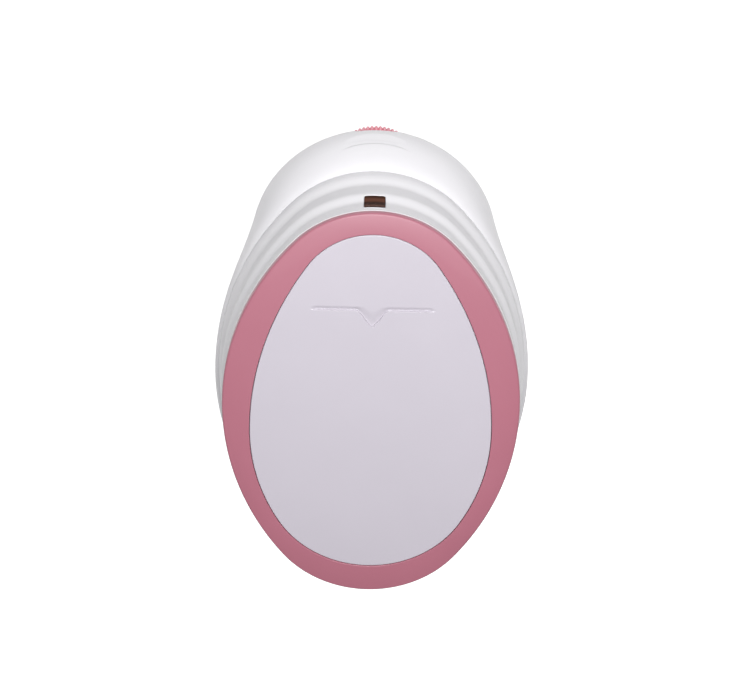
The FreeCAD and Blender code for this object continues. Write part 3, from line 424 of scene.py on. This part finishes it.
def thumb_lip(finish):
    """A low lip over the thumbwheel: the surface sinks under a line that rises to both sides, then eases out."""
    lip_height, rise = 31.95 * MM, 12.0
    step_width, fade_start, fade_stop = 0.4 * MM, 0.6 * MM, 4.5 * MM
    end_start, end_stop, front_y = 5.5 * MM, 8.8 * MM, 30 * MM
    split = finish.add("ShaderNodeSeparateXYZ")
    finish.link(finish.place, split.inputs[0])
    x, y, z = split.outputs
    line = finish.math("MULTIPLY_ADD", finish.math("MULTIPLY", x, x), rise, lip_height)
    under = finish.math("SUBTRACT", line, z)
    step = finish.ease(under, 1, 0, 0, step_width)
    fade = finish.ease(under, 0, 1, fade_start, fade_stop)
    ends = finish.ease(finish.math("ABSOLUTE", x), 0, 1, end_start, end_stop)
    away = finish.math("MAXIMUM", finish.math("MAXIMUM", step, fade), ends)
    return finish.math("MAXIMUM", away, finish.math("LESS_THAN", y, front_y))


def metal(name, base, rough, grain=2600.0):
    """Drawn or plated metal with fine wear."""
    finish = Finish(name).set(Metallic=1.0)
    wear = finish.noise(grain, 3.0, 0.7)
    colours = finish.ramp(finish.noise(320.0), tinted(base, 0.88), base)
    return finish.shade(colours, finish.range(wear, rough - 0.06, rough + 0.08), finish.bump(wear, 4e-6))


def foam_finish():
    """Open-cell foam: packed cells, each with painted shade in its hollow."""
    finish = Finish("foam").set(IOR=1.4)
    pores = finish.cells(2400.0)
    # Painted shade: the colour darkens towards each cell's middle, where its hollow lies.
    colours = finish.ramp(pores, (0.010, 0.010, 0.011), (0.055, 0.055, 0.058), 0.15, 0.6)
    return finish.shade(colours, finish.range(pores, 0.8, 0.98), finish.bump(pores, 1.6e-4))


def board_finish():
    """Glass-fibre board under green resist, with copper runs as faint ridges."""
    finish = Finish("circuit_board").set(IOR=1.5)
    brick = finish.add("ShaderNodeTexBrick")
    brick.inputs["Scale"].default_value = 420.0
    brick.inputs["Mortar Size"].default_value = 0.05
    finish.link(finish.place, brick.inputs["Vector"])
    runs = brick.outputs["Fac"]
    colours = finish.ramp(runs, (0.010, 0.085, 0.032), (0.022, 0.150, 0.062), 0.2, 0.8)
    weave = finish.bump(finish.noise(3600.0), 5e-6)
    return finish.shade(colours, finish.range(finish.noise(400.0), 0.30, 0.42), finish.bump(runs, 3e-5, under=weave))


def lens_finish(base):
    """Smoked acrylic: dark through its depth, with two paler bands painted into its colour as reflections."""
    finish = Finish("smoked_lens").set(IOR=1.40, Specular_IOR_Level=0.03)
    # Painted reflections: the wave bands lighten the lens's colour in stripes across its height.
    painted_reflection_bands = finish.add("ShaderNodeTexWave", wave_type="BANDS", bands_direction="Z", wave_profile="SIN")
    painted_reflection_bands.inputs["Scale"].default_value = 115.0
    painted_reflection_bands.inputs["Distortion"].default_value = 0.6
    painted_reflection_bands.inputs["Phase Offset"].default_value = 1.2
    finish.link(finish.place, painted_reflection_bands.inputs["Vector"])
    colours = finish.ramp(painted_reflection_bands.outputs["Fac"], tinted(base, 0.75), tinted(base, 1.9), 0.35, 0.95)
    haze = finish.noise(260.0, 3.0)
    return finish.shade(colours, finish.range(haze, 0.22, 0.34), finish.bump(finish.noise(90.0, 1.0), 4e-6))


def make_finishes(colours):
    """Every finish, by the record's slot name; the rear shell's own finish adds the lip over the thumbwheel."""
    shell, panel, trim, wheel = (tuple(c) for c in (colours.shell, colours.panel, colours.trim, colours.wheel))
    shell_look = (shell, 0.36, 3400.0, 7e-6, 0.012)
    return {
        "white_shell": moulded("white_shell", *shell_look, Coat_Weight=0.12),
        "white_hull": moulded("white_hull", *shell_look, lip=thumb_lip, Coat_Weight=0.12),
        "white_panel": moulded("white_panel", panel, 0.33, 3800.0, 6e-6, 0.012, Coat_Weight=0.15),
        "pink_trim": moulded("pink_trim", trim, 0.42, 3800.0, 6e-6, 0.02, Coat_Weight=0.12),
        "pink_wheel": moulded("pink_wheel", wheel, 0.40, 3000.0, 9e-6, 0.03),
        "smoked_lens": lens_finish(tuple(colours.lens)),
        "foam": foam_finish(),
        "led": moulded("led", (0.42, 0.50, 0.34), 0.16, 900.0, 3e-6, Coat_Weight=0.6),
        "tinned_wire": metal("tinned_wire", (0.74, 0.74, 0.72), 0.30),
        "dark_moulding": moulded("dark_moulding", (0.020, 0.020, 0.022), 0.46, 2600.0, 1.1e-5),
        "screw_steel": metal("screw_steel", (0.56, 0.55, 0.53), 0.28),
        "circuit_board": board_finish(),
        "chip": moulded("chip", (0.018, 0.018, 0.019), 0.58, 5200.0, 8e-6),
        "capacitor": metal("capacitor", (0.66, 0.67, 0.69), 0.34),
        "battery_jacket": moulded("battery_jacket", (0.055, 0.060, 0.070), 0.30, 1500.0, 5e-6, Coat_Weight=0.3),
        "contact_metal": metal("contact_metal", (0.72, 0.68, 0.58), 0.26),
        "lead_jacket": moulded("lead_jacket", (0.30, 0.02, 0.02), 0.48, 2200.0, 8e-6),
        "probe_lens": moulded("probe_lens", (0.40, 0.42, 0.44), 0.30, 2600.0, 6e-6, Coat_Weight=0.2),
        "seal_rubber": moulded("seal_rubber", (0.030, 0.030, 0.032), 0.70, 1800.0, 1.6e-5),
        "ceramic": moulded("ceramic", (0.52, 0.49, 0.42), 0.55, 3200.0, 8e-6),
        "shield_metal": metal("shield_metal", (0.62, 0.62, 0.60), 0.36),
    }


FINISH = {}

# ---------------------------------------------------------------- operators


class DOPPLER_OT_stage(bpy.types.Operator):
    """Lays the floor, soft light and camera"""

    bl_idname = "doppler.stage"
    bl_label = "Studio"

    def execute(self, context):
        scene = context.scene
        scene.view_settings.view_transform = "Standard"
        FINISH.update(make_finishes(scene.doppler_colours))
        self.floor(scene)
        world = bpy.data.worlds.new("studio")
        world.use_nodes = True
        sky = world.node_tree.nodes["Background"]
        sky.inputs["Color"].default_value = (1.0, 0.995, 1.0, 1)
        sky.inputs["Strength"].default_value = 0.075
        scene.world = world
        self.lamp(scene, "key_light", (0.032, 0.24, 0.58), 0.34, 4.1)
        self.lamp(scene, "top_light", (0.0, 0.10, 1.5), 0.9, 4.3)
        self.camera(scene)
        return {"FINISHED"}

    def floor(self, scene):
        """A pale floor that glows to the camera and in reflections, and lights the object only a little."""
        seen, mirrored, least = 0.85, 0.50, 0.12
        finish = Finish("studio_floor").set(IOR=1.3, Emission_Color=(1, 1, 1, 1))
        rays = finish.add("ShaderNodeLightPath")
        to_camera = finish.range(rays.outputs["Is Camera Ray"], 0, seen, 0, 1)
        to_gloss = finish.range(rays.outputs["Is Glossy Ray"], 0, mirrored, 0, 1)
        glow = finish.math("MAXIMUM", finish.math("ADD", to_camera, to_gloss), least)
        finish.link(glow, finish.shader.inputs["Emission Strength"])
        tone = finish.ramp(finish.noise(6.0, 2.0), (0.60, 0.60, 0.60), (0.62, 0.62, 0.62))
        reach, low = 4.0, -0.01 * MM
        mesh = bpy.data.meshes.new("studio_floor")
        corners = [(-reach, -reach, low), (reach, -reach, low), (reach, reach, low), (-reach, reach, low)]
        mesh.from_pydata(corners, [], [(0, 1, 2, 3)])
        mesh.materials.append(finish.shade(tone, finish.range(finish.noise(9.0), 0.85, 0.95)))
        floor = bpy.data.objects.new("studio_floor", mesh)
        scene.collection.objects.link(floor)

    def lamp(self, scene, name, place, width, power):
        """A square soft light that faces the object's middle."""
        middle = np.array([0, 0, 0.03])
        data = bpy.data.lights.new(name, "AREA")
        data.size = width
        data.energy = power
        lamp = bpy.data.objects.new(name, data)
        scene.collection.objects.link(lamp)
        lamp.matrix_world = self.frame_of(np.array(place) - middle, np.array([0, 0, 1.0]), place)

    def frame_of(self, back, up, place):
        """A turn whose third axis points back from the target, with its second axis near up."""
        z = back / np.linalg.norm(back)
        x = np.cross(up, z)
        x = x / np.linalg.norm(x)
        y = np.cross(z, x)
        rows = [[x[i], y[i], z[i], place[i]] for i in range(3)]
        return Matrix(rows + [[0, 0, 0, 1]])

    def camera(self, scene):
        """Looks down on the face from the thumbwheel's end, a little rolled."""
        tilt, roll, reach = math.radians(28.0), math.radians(1.1), 0.620
        back = np.array([0, math.sin(tilt), math.cos(tilt)])
        across = np.array([1.0, 0, 0])
        upward = np.array([0, math.cos(tilt), -math.sin(tilt)])
        up = upward * math.cos(roll) - across * math.sin(roll)
        target = np.array([0, -0.008, 0.060])
        data = bpy.data.cameras.new("camera")
        data.lens = 125.76
        data.sensor_width = 36.0
        data.shift_x = 0.0055
        data.shift_y = 0.080
        data.clip_start = 0.01
        camera = bpy.data.objects.new("camera", data)
        scene.collection.objects.link(camera)
        camera.matrix_world = self.frame_of(back, up, target + reach * back)
        scene.camera = camera


class DOPPLER_OT_cover_rim(bpy.types.Operator):
    """Makes the crowned pink rim of the battery cover"""

    bl_idname = "doppler.cover_rim"
    bl_label = "Cover rim"

    def execute(self, context):
        sizes = context.scene.doppler_sizes
        face, panel = tuple(sizes.face), tuple(sizes.panel)
        count = 720
        turn = np.arange(count) * math.tau / count
        fall, edge = sizes.rim_round, sizes.rim_edge
        mid_x, mid_y = egg(grown(face, -fall), turn)
        inner_x, inner_y = egg(grown(panel, edge), turn)
        width = np.hypot(mid_x - inner_x, mid_y - inner_y)
        slope = ((mid_x * np.cos(turn)) + (mid_y - face[0]) * np.sin(turn)) / sizes.crown
        slope = slope + 2 * sizes.ring_roll / width
        middle = crown_height(sizes, mid_x, mid_y) - sizes.ring_roll - fall / np.cos(slope)
        rows = []
        x, y = egg(face, turn)
        for share in (0.0, 0.04, 0.5, 0.92, 0.98):
            rows.append(level(x, y, sizes.cover_low + share * (middle - sizes.cover_low)))
        for step in np.linspace(0, 1, 15):
            angle = step * (math.pi / 2 - slope)
            inset = -fall * (1 - np.cos(angle))
            x, y = egg(face, turn)
            rows.append(level(x + inset * np.cos(turn), y + inset * np.sin(turn), middle + fall * np.sin(angle)))
        last = rows[-1]
        fallen = crown_height(sizes, last[:, 0], last[:, 1]) - last[:, 2]
        for share in (0.02, 0.06, 0.12, 0.2, 0.3, 0.42, 0.56, 0.7, 0.85, 0.96, 0.99):
            x = last[:, 0] + share * (inner_x - last[:, 0])
            y = last[:, 1] + share * (inner_y - last[:, 1])
            rows.append(level(x, y, crown_height(sizes, x, y) - fallen * (1 - share) ** 2))
        brow = crown_height(sizes, inner_x, inner_y)
        for angle in np.linspace(0, math.pi / 2, 6):
            x, y = egg(grown(panel, edge * (1 - math.sin(angle))), turn)
            rows.append(level(x, y, brow - edge * (1 - math.cos(angle))))
        x, y = egg(panel, turn)
        rows.append(level(x, y, brow - 2 * edge))
        rows.append(level(x, y, sizes.flange_top))
        x, y = egg(grown(face, -sizes.flange_inset), turn)
        rows.append(level(x, y, sizes.flange_top))
        rows.append(level(x, y, sizes.cover_low))
        faces = grid_faces(len(rows), count, loop=True)
        add_piece("cover_rim", rows, [faces], COVER, FINISH["pink_trim"], "pink_trim", "ring_trim")
        return {"FINISHED"}


class DOPPLER_OT_cover_panel(bpy.types.Operator):
    """Makes the white cover panel with its thumb ledge, flange and hooks"""

    bl_idname = "doppler.cover_panel"
    bl_label = "Cover panel"

    def columns(self):
        """Angles about the ledge's middle, packed along the ledge's two arms."""
        narrow, wide, growth, arm = 0.0015, 0.0105, 0.12, 0.012
        fine = np.linspace(0, math.tau, 200001)
        gap = np.clip(narrow + growth * (np.abs(np.sin(fine)) - arm), narrow, wide)
        count = np.concatenate([[0], np.cumsum(np.diff(fine) / gap[1:])])
        total = int(round(count[-1]))
        return np.interp(np.arange(total) * count[-1] / total, count, fine)

    def ledge(self, sizes, x, y):
        """A ramp that sinks towards the arrow's lower line, then steps back up over a narrow bright wall."""
        fade_length, inner_blunt = 1.5, 0.4
        along, up = np.abs(x) / MM, (y - sizes.ledge_y) / MM
        rise, wall = sizes.ledge_rise / MM, sizes.ledge_wall / MM
        low = -self.notch(along, sizes.vee_half / MM, sizes.vee_drop / MM, sizes.vee_blunt / MM)
        high = rise - self.notch(along, sizes.vee_inner_half / MM, sizes.vee_inner_drop / MM, inner_blunt)
        fade = smooth((sizes.ledge_half / MM - along) / fade_length)
        ramp = smooth((high - up) / (high - low))
        back = smooth((up - low + wall) / wall)
        return -sizes.ledge_depth * fade * ramp * back

    def notch(self, along, half, drop, blunt):
        """Depth of a rounded V: a hyperbola at its tip that eases out to nothing at its half width."""
        ease = 0.10
        run = (np.sqrt(along**2 + blunt**2) - blunt) * half / (math.hypot(half, blunt) - blunt)
        return ease * np.logaddexp(0, (drop - run * drop / half) / ease)

    def hooks(self, sizes):
        """Four L-shaped hooks: a web under the flange and a foot that reaches under the deck."""
        points, faces = [], []
        foot_low, foot_top, top = 52.0 * MM, 53.5 * MM, sizes.flange_top
        web, reach, half = 1.0 * MM, 5.6 * MM, 1.2 * MM
        for x in (-21.0 * MM, 21.0 * MM):
            for y in (2.0 * MM, -20.0 * MM):
                profile = [(y - web, top), (y - web, foot_low), (y + reach, foot_low)]
                profile += [(y + reach, foot_top), (y + web, foot_top), (y + web, top)]
                first, n = len(points), len(profile)
                points += [(x - half, a, b) for a, b in profile] + [(x + half, a, b) for a, b in profile]
                faces += [[first + i, first + n + i, first + n + (i + 1) % n, first + (i + 1) % n] for i in range(n)]
                faces += [[first + i for i in range(n)], [first + 2 * n - 1 - i for i in range(n)]]
        return points, faces

    def execute(self, context):
        sizes = context.scene.doppler_sizes
        face, panel = tuple(sizes.face), tuple(sizes.panel)
        plate = grown(panel, -sizes.seam)
        theta = self.columns()
        count, edge = len(theta), sizes.panel_edge
        dense = np.linspace(0, math.tau, 40001)
        dense_x, dense_y = egg(grown(plate, -edge), dense)
        about = np.unwrap(np.arctan2(dense_y - sizes.ledge_y, dense_x))
        spans = np.concatenate([about - math.tau, about, about + math.tau])
        turn = np.interp(theta, spans, np.concatenate([dense - math.tau, dense, dense + math.tau]))
        edge_x, edge_y = egg(grown(plate, -edge), turn)
        reach = np.hypot(edge_x, edge_y - sizes.ledge_y)
        way_x, way_y = edge_x / reach, (edge_y - sizes.ledge_y) / reach

        rows = []
        under_x, under_y = egg(grown(plate, -2 * MM), turn)
        for share in (0.25, 0.6, 1.0):
            x, y = share * under_x, sizes.ledge_y + share * (under_y - sizes.ledge_y)
            rows.append(level(x, y, sizes.flange_top))
        rows.append(level(under_x, under_y, sizes.cover_low))
        flange = egg(grown(face, -sizes.flange_inset - sizes.seam), turn)
        rows.append(level(*flange, sizes.cover_low))
        rows.append(level(*flange, sizes.flange_top))
        wall = egg(plate, turn)
        rows.append(level(*wall, sizes.flange_top))
        brow = crown_height(sizes, edge_x, edge_y, sizes.drop)
        rows.append(level(*wall, brow - 2 * edge))
        for angle in np.linspace(0, math.pi / 2, 7):
            x, y = egg(grown(plate, -edge * (1 - math.cos(angle))), turn)
            rows.append(level(x, y, brow - edge * (1 - math.sin(angle))))
        # The rows run in from the edge to a circle just past the ledge's ends, then close in on its middle.
        circle = 16.2 * MM
        aways = [reach + share * (circle - reach) for share in (0.01, 0.04, *np.linspace(0.1, 1.0, 20))]
        aways += list(np.concatenate([np.arange(15.8, 5.2, -0.4), np.arange(5.0, 0.09, -0.12)]) * MM)
        for away in aways:
            rows.append(self.top_row(sizes, way_x * away, sizes.ledge_y + way_y * away))
        bottom = np.array([[0.0, sizes.ledge_y, sizes.flange_top]])
        top = self.top_row(sizes, np.zeros(1), np.full(1, sizes.ledge_y))
        hook_points, hook_faces = self.hooks(sizes)
        pole = len(rows) * count
        points = np.concatenate([*rows, bottom, top, np.array(hook_points)])
        faces = [
            grid_faces(len(rows), count),
            pole_faces(pole, 0, count, up=False),
            pole_faces(pole + 1, (len(rows) - 1) * count, count, up=True),
            [np.array(f) + pole + 2 for f in hook_faces],
        ]
        add_piece("cover_plate", points, faces, COVER, FINISH["white_panel"], "white_panel", "cover_panel")
        return {"FINISHED"}

    def top_row(self, sizes, x, y):
        """Points on the crowned top with the ledge cut into it."""
        return level(x, y, crown_height(sizes, x, y, sizes.drop) + self.ledge(sizes, x, y))


class DOPPLER_OT_shells(bpy.types.Operator):
    """Makes the front shell's softly stepped wall and finishes both shells"""

    bl_idname = "doppler.shells"
    bl_label = "Shells"

    scoop = ((-9, 40, 25), (9, 50, 34))

    def columns(self, sizes, patch):
        """Turns of the wall's columns on both sides of the lamp's patch, which reaches this far to either side."""
        _, half, top, _, upper, _ = tuple(sizes.face)
        count, tip = 480, end_radius(half, top, upper)
        turn = np.arange(count) * math.tau / count
        clear = (np.sin(turn) < 0) | (np.abs(tip * np.cos(turn)) > patch + 0.15 * MM)
        return turn[clear & (turn < math.pi / 2)], turn[clear & (turn >= math.pi / 2)]

    def wall(self, sizes):
        """Rows from the parting line to the cover's rim, open round the lamp, then a rounded lip and the side walls."""
        face, across, up, below, above = tuple(sizes.face), 24, 24, 43, 4
        patch, margin = sizes.window_half + 0.9 * MM, 0.8 * MM
        low, high = sizes.window_low - margin, sizes.window_high + margin
        patch_x = np.linspace(patch, -patch, across + 1)
        before, after = self.columns(sizes, patch)
        foot, head = sizes.wall_low, sizes.wall_top
        heights = [np.linspace(foot + 0.1 * MM, low, below + 1)[:-1], np.linspace(low, high, up + 1)]
        heights.append(np.linspace(high, head - 0.15 * MM, above + 1)[1:])
        plain = [(z, wall_offset(sizes, z)) for z in np.concatenate(heights)]
        # Both ends of the wall turn in over the CAD shell's flat ends, a hair inside them.
        start, stop, hair = wall_offset(sizes, foot), wall_offset(sizes, head), 5e-6
        skirt = [(foot + hair, start - 0.4 * MM), (foot + hair, start - 0.1 * MM)]
        skirt.append((foot + 0.03 * MM, start - 0.03 * MM))
        brow = [(head - 0.05 * MM, stop - 0.04 * MM), (head - hair, stop - 0.14 * MM), (head - hair, stop - 0.5 * MM)]
        rows = []
        for z, offset in skirt + plain + brow:
            outline = grown(face, offset)
            left, right = level(*egg(outline, before), z), level(*egg(outline, after), z)
            rows.append(np.concatenate([left, tip_arc(sizes, patch_x, offset, z), right]))
        count = len(rows[0])
        quads = grid_faces(len(rows), count).reshape(len(rows) - 1, count, 4)
        r0, c0 = len(skirt) + below, len(before)
        r1, c1 = r0 + up, c0 + across
        open_cells = np.zeros((len(rows) - 1, count), bool)
        open_cells[r0:r1, c0:c1] = True
        faces = [quads[~open_cells]]
        lift, step = np.arange(up), np.arange(across)
        edge = [(r0 + lift) * count + c0, r1 * count + c0 + step, (r1 - lift) * count + c1, r0 * count + c1 - step]
        edge = np.concatenate(edge)
        points = np.concatenate(rows)
        edge_x, edge_z = points[edge][:, 0], points[edge][:, 2]
        lip, box = sizes.window_lip, (sizes.window_half, sizes.window_low, sizes.window_high, sizes.window_round)

        def loop(inset):
            grow = lip - inset
            return rounded_box(box[0] + grow, box[1] - grow, box[2] + grow, box[3] + grow, across, up)

        rings = []
        inner_x, inner_z = loop(0)
        for share in (0.2, 0.45, 0.7, 0.9, 1.0):
            x, z = edge_x + share * (inner_x - edge_x), edge_z + share * (inner_z - edge_z)
            rings.append(tip_arc(sizes, x, wall_offset(sizes, z), z))
        for angle in np.linspace(0, math.pi / 2, 7)[1:]:
            x, z = loop(lip * math.sin(angle))
            rings.append(tip_arc(sizes, x, wall_offset(sizes, z) - lip * (1 - math.cos(angle)), z))
        rings.append(tip_arc(sizes, x, -sizes.window_depth, z))
        first = len(points)
        ring_faces = grid_faces(len(rings), len(edge))[:, ::-1] + first
        j = np.arange(len(edge))
        after_j = (j + 1) % len(edge)
        seam = np.stack([edge, first + j, first + after_j, edge[after_j]], axis=-1)
        return np.concatenate([points, *rings]), faces + [seam, ring_faces]

    def rest(self, sizes):
        """The CAD front shell without its outer skin and without the lamp opening's side walls."""
        mesh = merged("front_shell")
        points = np.empty(len(mesh.vertices) * 3)
        mesh.vertices.foreach_get("co", points)
        points = points.reshape(-1, 3)
        faces = np.array([tuple(p.vertices) for p in mesh.polygons])
        x, y, z = points.T / MM
        offset = egg_offset(np.array(tuple(sizes.face)) / MM, x, y)
        # The skin stands outside the face outline, and further out near the foot, where the inner wall does too.
        foot_top, above_foot, foot_skin, slack = 41.9, 41.2, 0.9, 0.01
        skin = ((z > above_foot) & (offset > -slack)) | ((z <= foot_top) & (offset > foot_skin))
        corners = points[faces] / MM
        normal = np.cross(corners[:, 1] - corners[:, 0], corners[:, 2] - corners[:, 0])
        normal /= np.maximum(np.linalg.norm(normal, axis=1), 1e-12)[:, None]
        height = corners[:, :, 2]
        foot, head = sizes.wall_low / MM + 0.1, sizes.wall_top / MM - 0.05
        flat_end = (np.abs(normal[:, 2]) > 0.9999) & ((height.max(1) < foot) | (height.min(1) > head))
        opening_low, opening_high, opening_y = 49.2, 54.4, 38.5
        window = (np.abs(x) < sizes.window_half / MM + slack) & (y > opening_y)
        window &= (z > opening_low - slack) & (z < opening_high + slack)
        gone = (skin[faces].all(1) & ~flat_end) | window[faces].all(1)
        bpy.data.meshes.remove(mesh)
        return points, faces[~gone]

    def execute(self, context):
        sizes = context.scene.doppler_sizes
        wall_points, wall_faces = self.wall(sizes)
        points, faces = self.rest(sizes)
        faces = [faces, *(part + len(points) for part in wall_faces)]
        points = np.concatenate([points, wall_points])
        finish = FINISH["white_shell"]
        add_piece("stepped_shell", points, faces, CASING, finish, "white_shell", "front_shell", sharp=28.0)
        hull = smooth_copy("rear_shell", CASING, FINISH["white_hull"])
        self.crease(hull.data, *self.scoop)
        return {"FINISHED"}

    def crease(self, mesh, low, high, angle=3.5):
        """Marks the thumb scoop's shallow edges as sharp, inside a box in millimetres."""
        work = bmesh.new()
        work.from_mesh(mesh)
        for edge in work.edges:
            ends = [corner.co / MM for corner in edge.verts]
            inside = all(low[i] < end[i] < high[i] for end in ends for i in range(3))
            if inside and edge.is_manifold and edge.calc_face_angle() > math.radians(angle):
                edge.smooth = False
        work.to_mesh(mesh)
        work.free()


class DOPPLER_OT_lamp_window(bpy.types.Operator):
    """Makes the smoked lamp window, curved like the wall that it sits in"""

    bl_idname = "doppler.lamp_window"
    bl_label = "Lamp window"

    def execute(self, context):
        sizes = context.scene.doppler_sizes
        gap, edge, sink, across, up = sizes.window_gap, 0.12 * MM, 0.05 * MM, 24, 24
        box = (sizes.window_half - gap, sizes.window_low + gap, sizes.window_high - gap, sizes.window_round - gap)

        def loop(inset):
            return rounded_box(box[0] - inset, box[1] + inset, box[2] - inset, box[3] - inset, across, up)

        rim_x, rim_z = loop(edge)
        middle = (box[1] + box[2]) / 2
        rings = []
        for share in np.linspace(0.06, 1.0, 16):
            x, z = share * rim_x, middle + share * (rim_z - middle)
            rings.append(tip_arc(sizes, x, wall_offset(sizes, z) - sink, z))
        for angle in np.linspace(0, math.pi / 2, 6)[1:]:
            x, z = loop(edge * (1 - math.sin(angle)))
            rings.append(tip_arc(sizes, x, wall_offset(sizes, z) - sink - edge * (1 - math.cos(angle)), z))
        rings.append(tip_arc(sizes, x, -sizes.window_depth + 0 * z, z))
        front = tip_arc(sizes, np.zeros(1), wall_offset(sizes, middle) - sink, middle)
        back = tip_arc(sizes, np.zeros(1), -sizes.window_depth, middle)
        points = np.concatenate([*rings, front, back])
        count, last = len(rim_x), (len(rings) - 1) * len(rim_x)
        faces = [
            grid_faces(len(rings), count),
            pole_faces(len(points) - 2, 0, count, up=False),
            pole_faces(len(points) - 1, last, count, up=True),
        ]
        add_piece("lamp_lens", points, faces, CASING, FINISH["smoked_lens"], "smoked_lens", "led_window")
        return {"FINISHED"}


class DOPPLER_OT_thumbwheel(bpy.types.Operator):
    """Makes the knurled thumbwheel with its sunk screw seat"""

    bl_idname = "doppler.thumbwheel"
    bl_label = "Thumbwheel"

    def execute(self, context):
        sizes = context.scene.doppler_sizes
        land, web, bevel = 0.30, 6 * MM, 0.3 * MM
        count = sizes.teeth * 12
        turn = np.arange(count) * math.tau / count
        wave = np.abs(np.mod(turn * sizes.teeth / math.tau, 1.0) * 2 - 1)
        cut = sizes.tooth_depth * smooth((wave - land) / (1 - land))
        rim = sizes.wheel_radius - cut
        low, high = sizes.wheel_low, sizes.wheel_low + sizes.wheel_thick
        sink, hub, bore = sizes.wheel_sink, sizes.wheel_hub, sizes.wheel_bore
        rows = [self.ring(sizes, turn, bore, low), self.ring(sizes, turn, web, low)]
        for angle in np.linspace(math.pi / 2, 0, 5):
            inset = bevel * (1 - math.cos(angle))
            rows.append(self.ring(sizes, turn, rim - inset, low + bevel * (1 - math.sin(angle))))
        rows.append(self.ring(sizes, turn, rim, (low + high) / 2))
        for angle in np.linspace(0, math.pi / 2, 5):
            inset = bevel * (1 - math.cos(angle))
            rows.append(self.ring(sizes, turn, rim - inset, high - bevel * (1 - math.sin(angle))))
        for radius, height in ((web, high), (hub, high), (hub, high - sink), (bore, high - sink)):
            rows.append(self.ring(sizes, turn, radius, height))
        faces = grid_faces(len(rows), count, loop=True)
        add_piece("knurled_wheel", rows, [faces], WHEEL, FINISH["pink_wheel"], "pink_wheel", "thumbwheel", sharp=50.0)
        smooth_copy("wheel_screw", WHEEL, FINISH["screw_steel"])
        return {"FINISHED"}

    def ring(self, sizes, turn, radius, height):
        """A circle, or a knurled outline, round the wheel's axis."""
        radius = np.broadcast_to(radius, turn.shape)
        return level(radius * np.cos(turn), sizes.wheel_y + radius * np.sin(turn), height)


class DOPPLER_OT_probe(bpy.types.Operator):
    """Finishes the ultrasound probe and the pieces seen from outside below"""

    bl_idname = "doppler.probe"
    bl_label = "Probe"

    def execute(self, context):
        smooth_copy("probe_housing", CASING, FINISH["white_shell"])
        smooth_copy("probe_face", CASING, FINISH["probe_lens"])
        for side in ("left", "right"):
            smooth_copy("earphone_socket_" + side, CASING, FINISH["dark_moulding"])
        smooth_copy("case_screws", CASING, FINISH["screw_steel"])
        return {"FINISHED"}


class DOPPLER_OT_inside(bpy.types.Operator):
    """Gives every piece inside the case its finish"""

    bl_idname = "doppler.inside"
    bl_label = "Inside"

    def execute(self, context):
        for row in frame["record"]["subparts"]:
            node = frame["nodes"][row["node"]]
            if not node.hide_render:
                paint(row["node"], FINISH[row["material_slot"]])
        return {"FINISHED"}


class DOPPLER_PT_panel(bpy.types.Panel):
    """Lists the steps and their sizes and colours"""

    bl_idname = "DOPPLER_PT_panel"
    bl_label = "Fetal doppler"
    bl_space_type = "VIEW_3D"
    bl_region_type = "UI"
    bl_category = "Doppler"

    def draw(self, context):
        for step in STEPS:
            self.layout.operator(step.bl_idname)
        for settings in (context.scene.doppler_sizes, context.scene.doppler_colours):
            for name in settings.__annotations__:
                self.layout.prop(settings, name)


STEPS = (
    DOPPLER_OT_stage,
    DOPPLER_OT_cover_rim,
    DOPPLER_OT_cover_panel,
    DOPPLER_OT_shells,
    DOPPLER_OT_lamp_window,
    DOPPLER_OT_thumbwheel,
    DOPPLER_OT_probe,
    DOPPLER_OT_inside,
)
CLASSES = (DopplerSizes, DopplerColours, *STEPS, DOPPLER_PT_panel)


def register():
    for item in CLASSES:
        bpy.utils.register_class(item)
    bpy.types.Scene.doppler_sizes = PointerProperty(type=DopplerSizes)
    bpy.types.Scene.doppler_colours = PointerProperty(type=DopplerColours)


def unregister():
    del bpy.types.Scene.doppler_colours
    del bpy.types.Scene.doppler_sizes
    for item in reversed(CLASSES):
        bpy.utils.unregister_class(item)


def main():
    register()
    bpy.ops.doppler.stage()
    bpy.ops.doppler.cover_rim()
    bpy.ops.doppler.cover_panel()
    bpy.ops.doppler.shells()
    bpy.ops.doppler.lamp_window()
    bpy.ops.doppler.thumbwheel()
    bpy.ops.doppler.probe()
    bpy.ops.doppler.inside()
    bpy.context.view_layer.update()


if __name__ == "__main__":
    main()
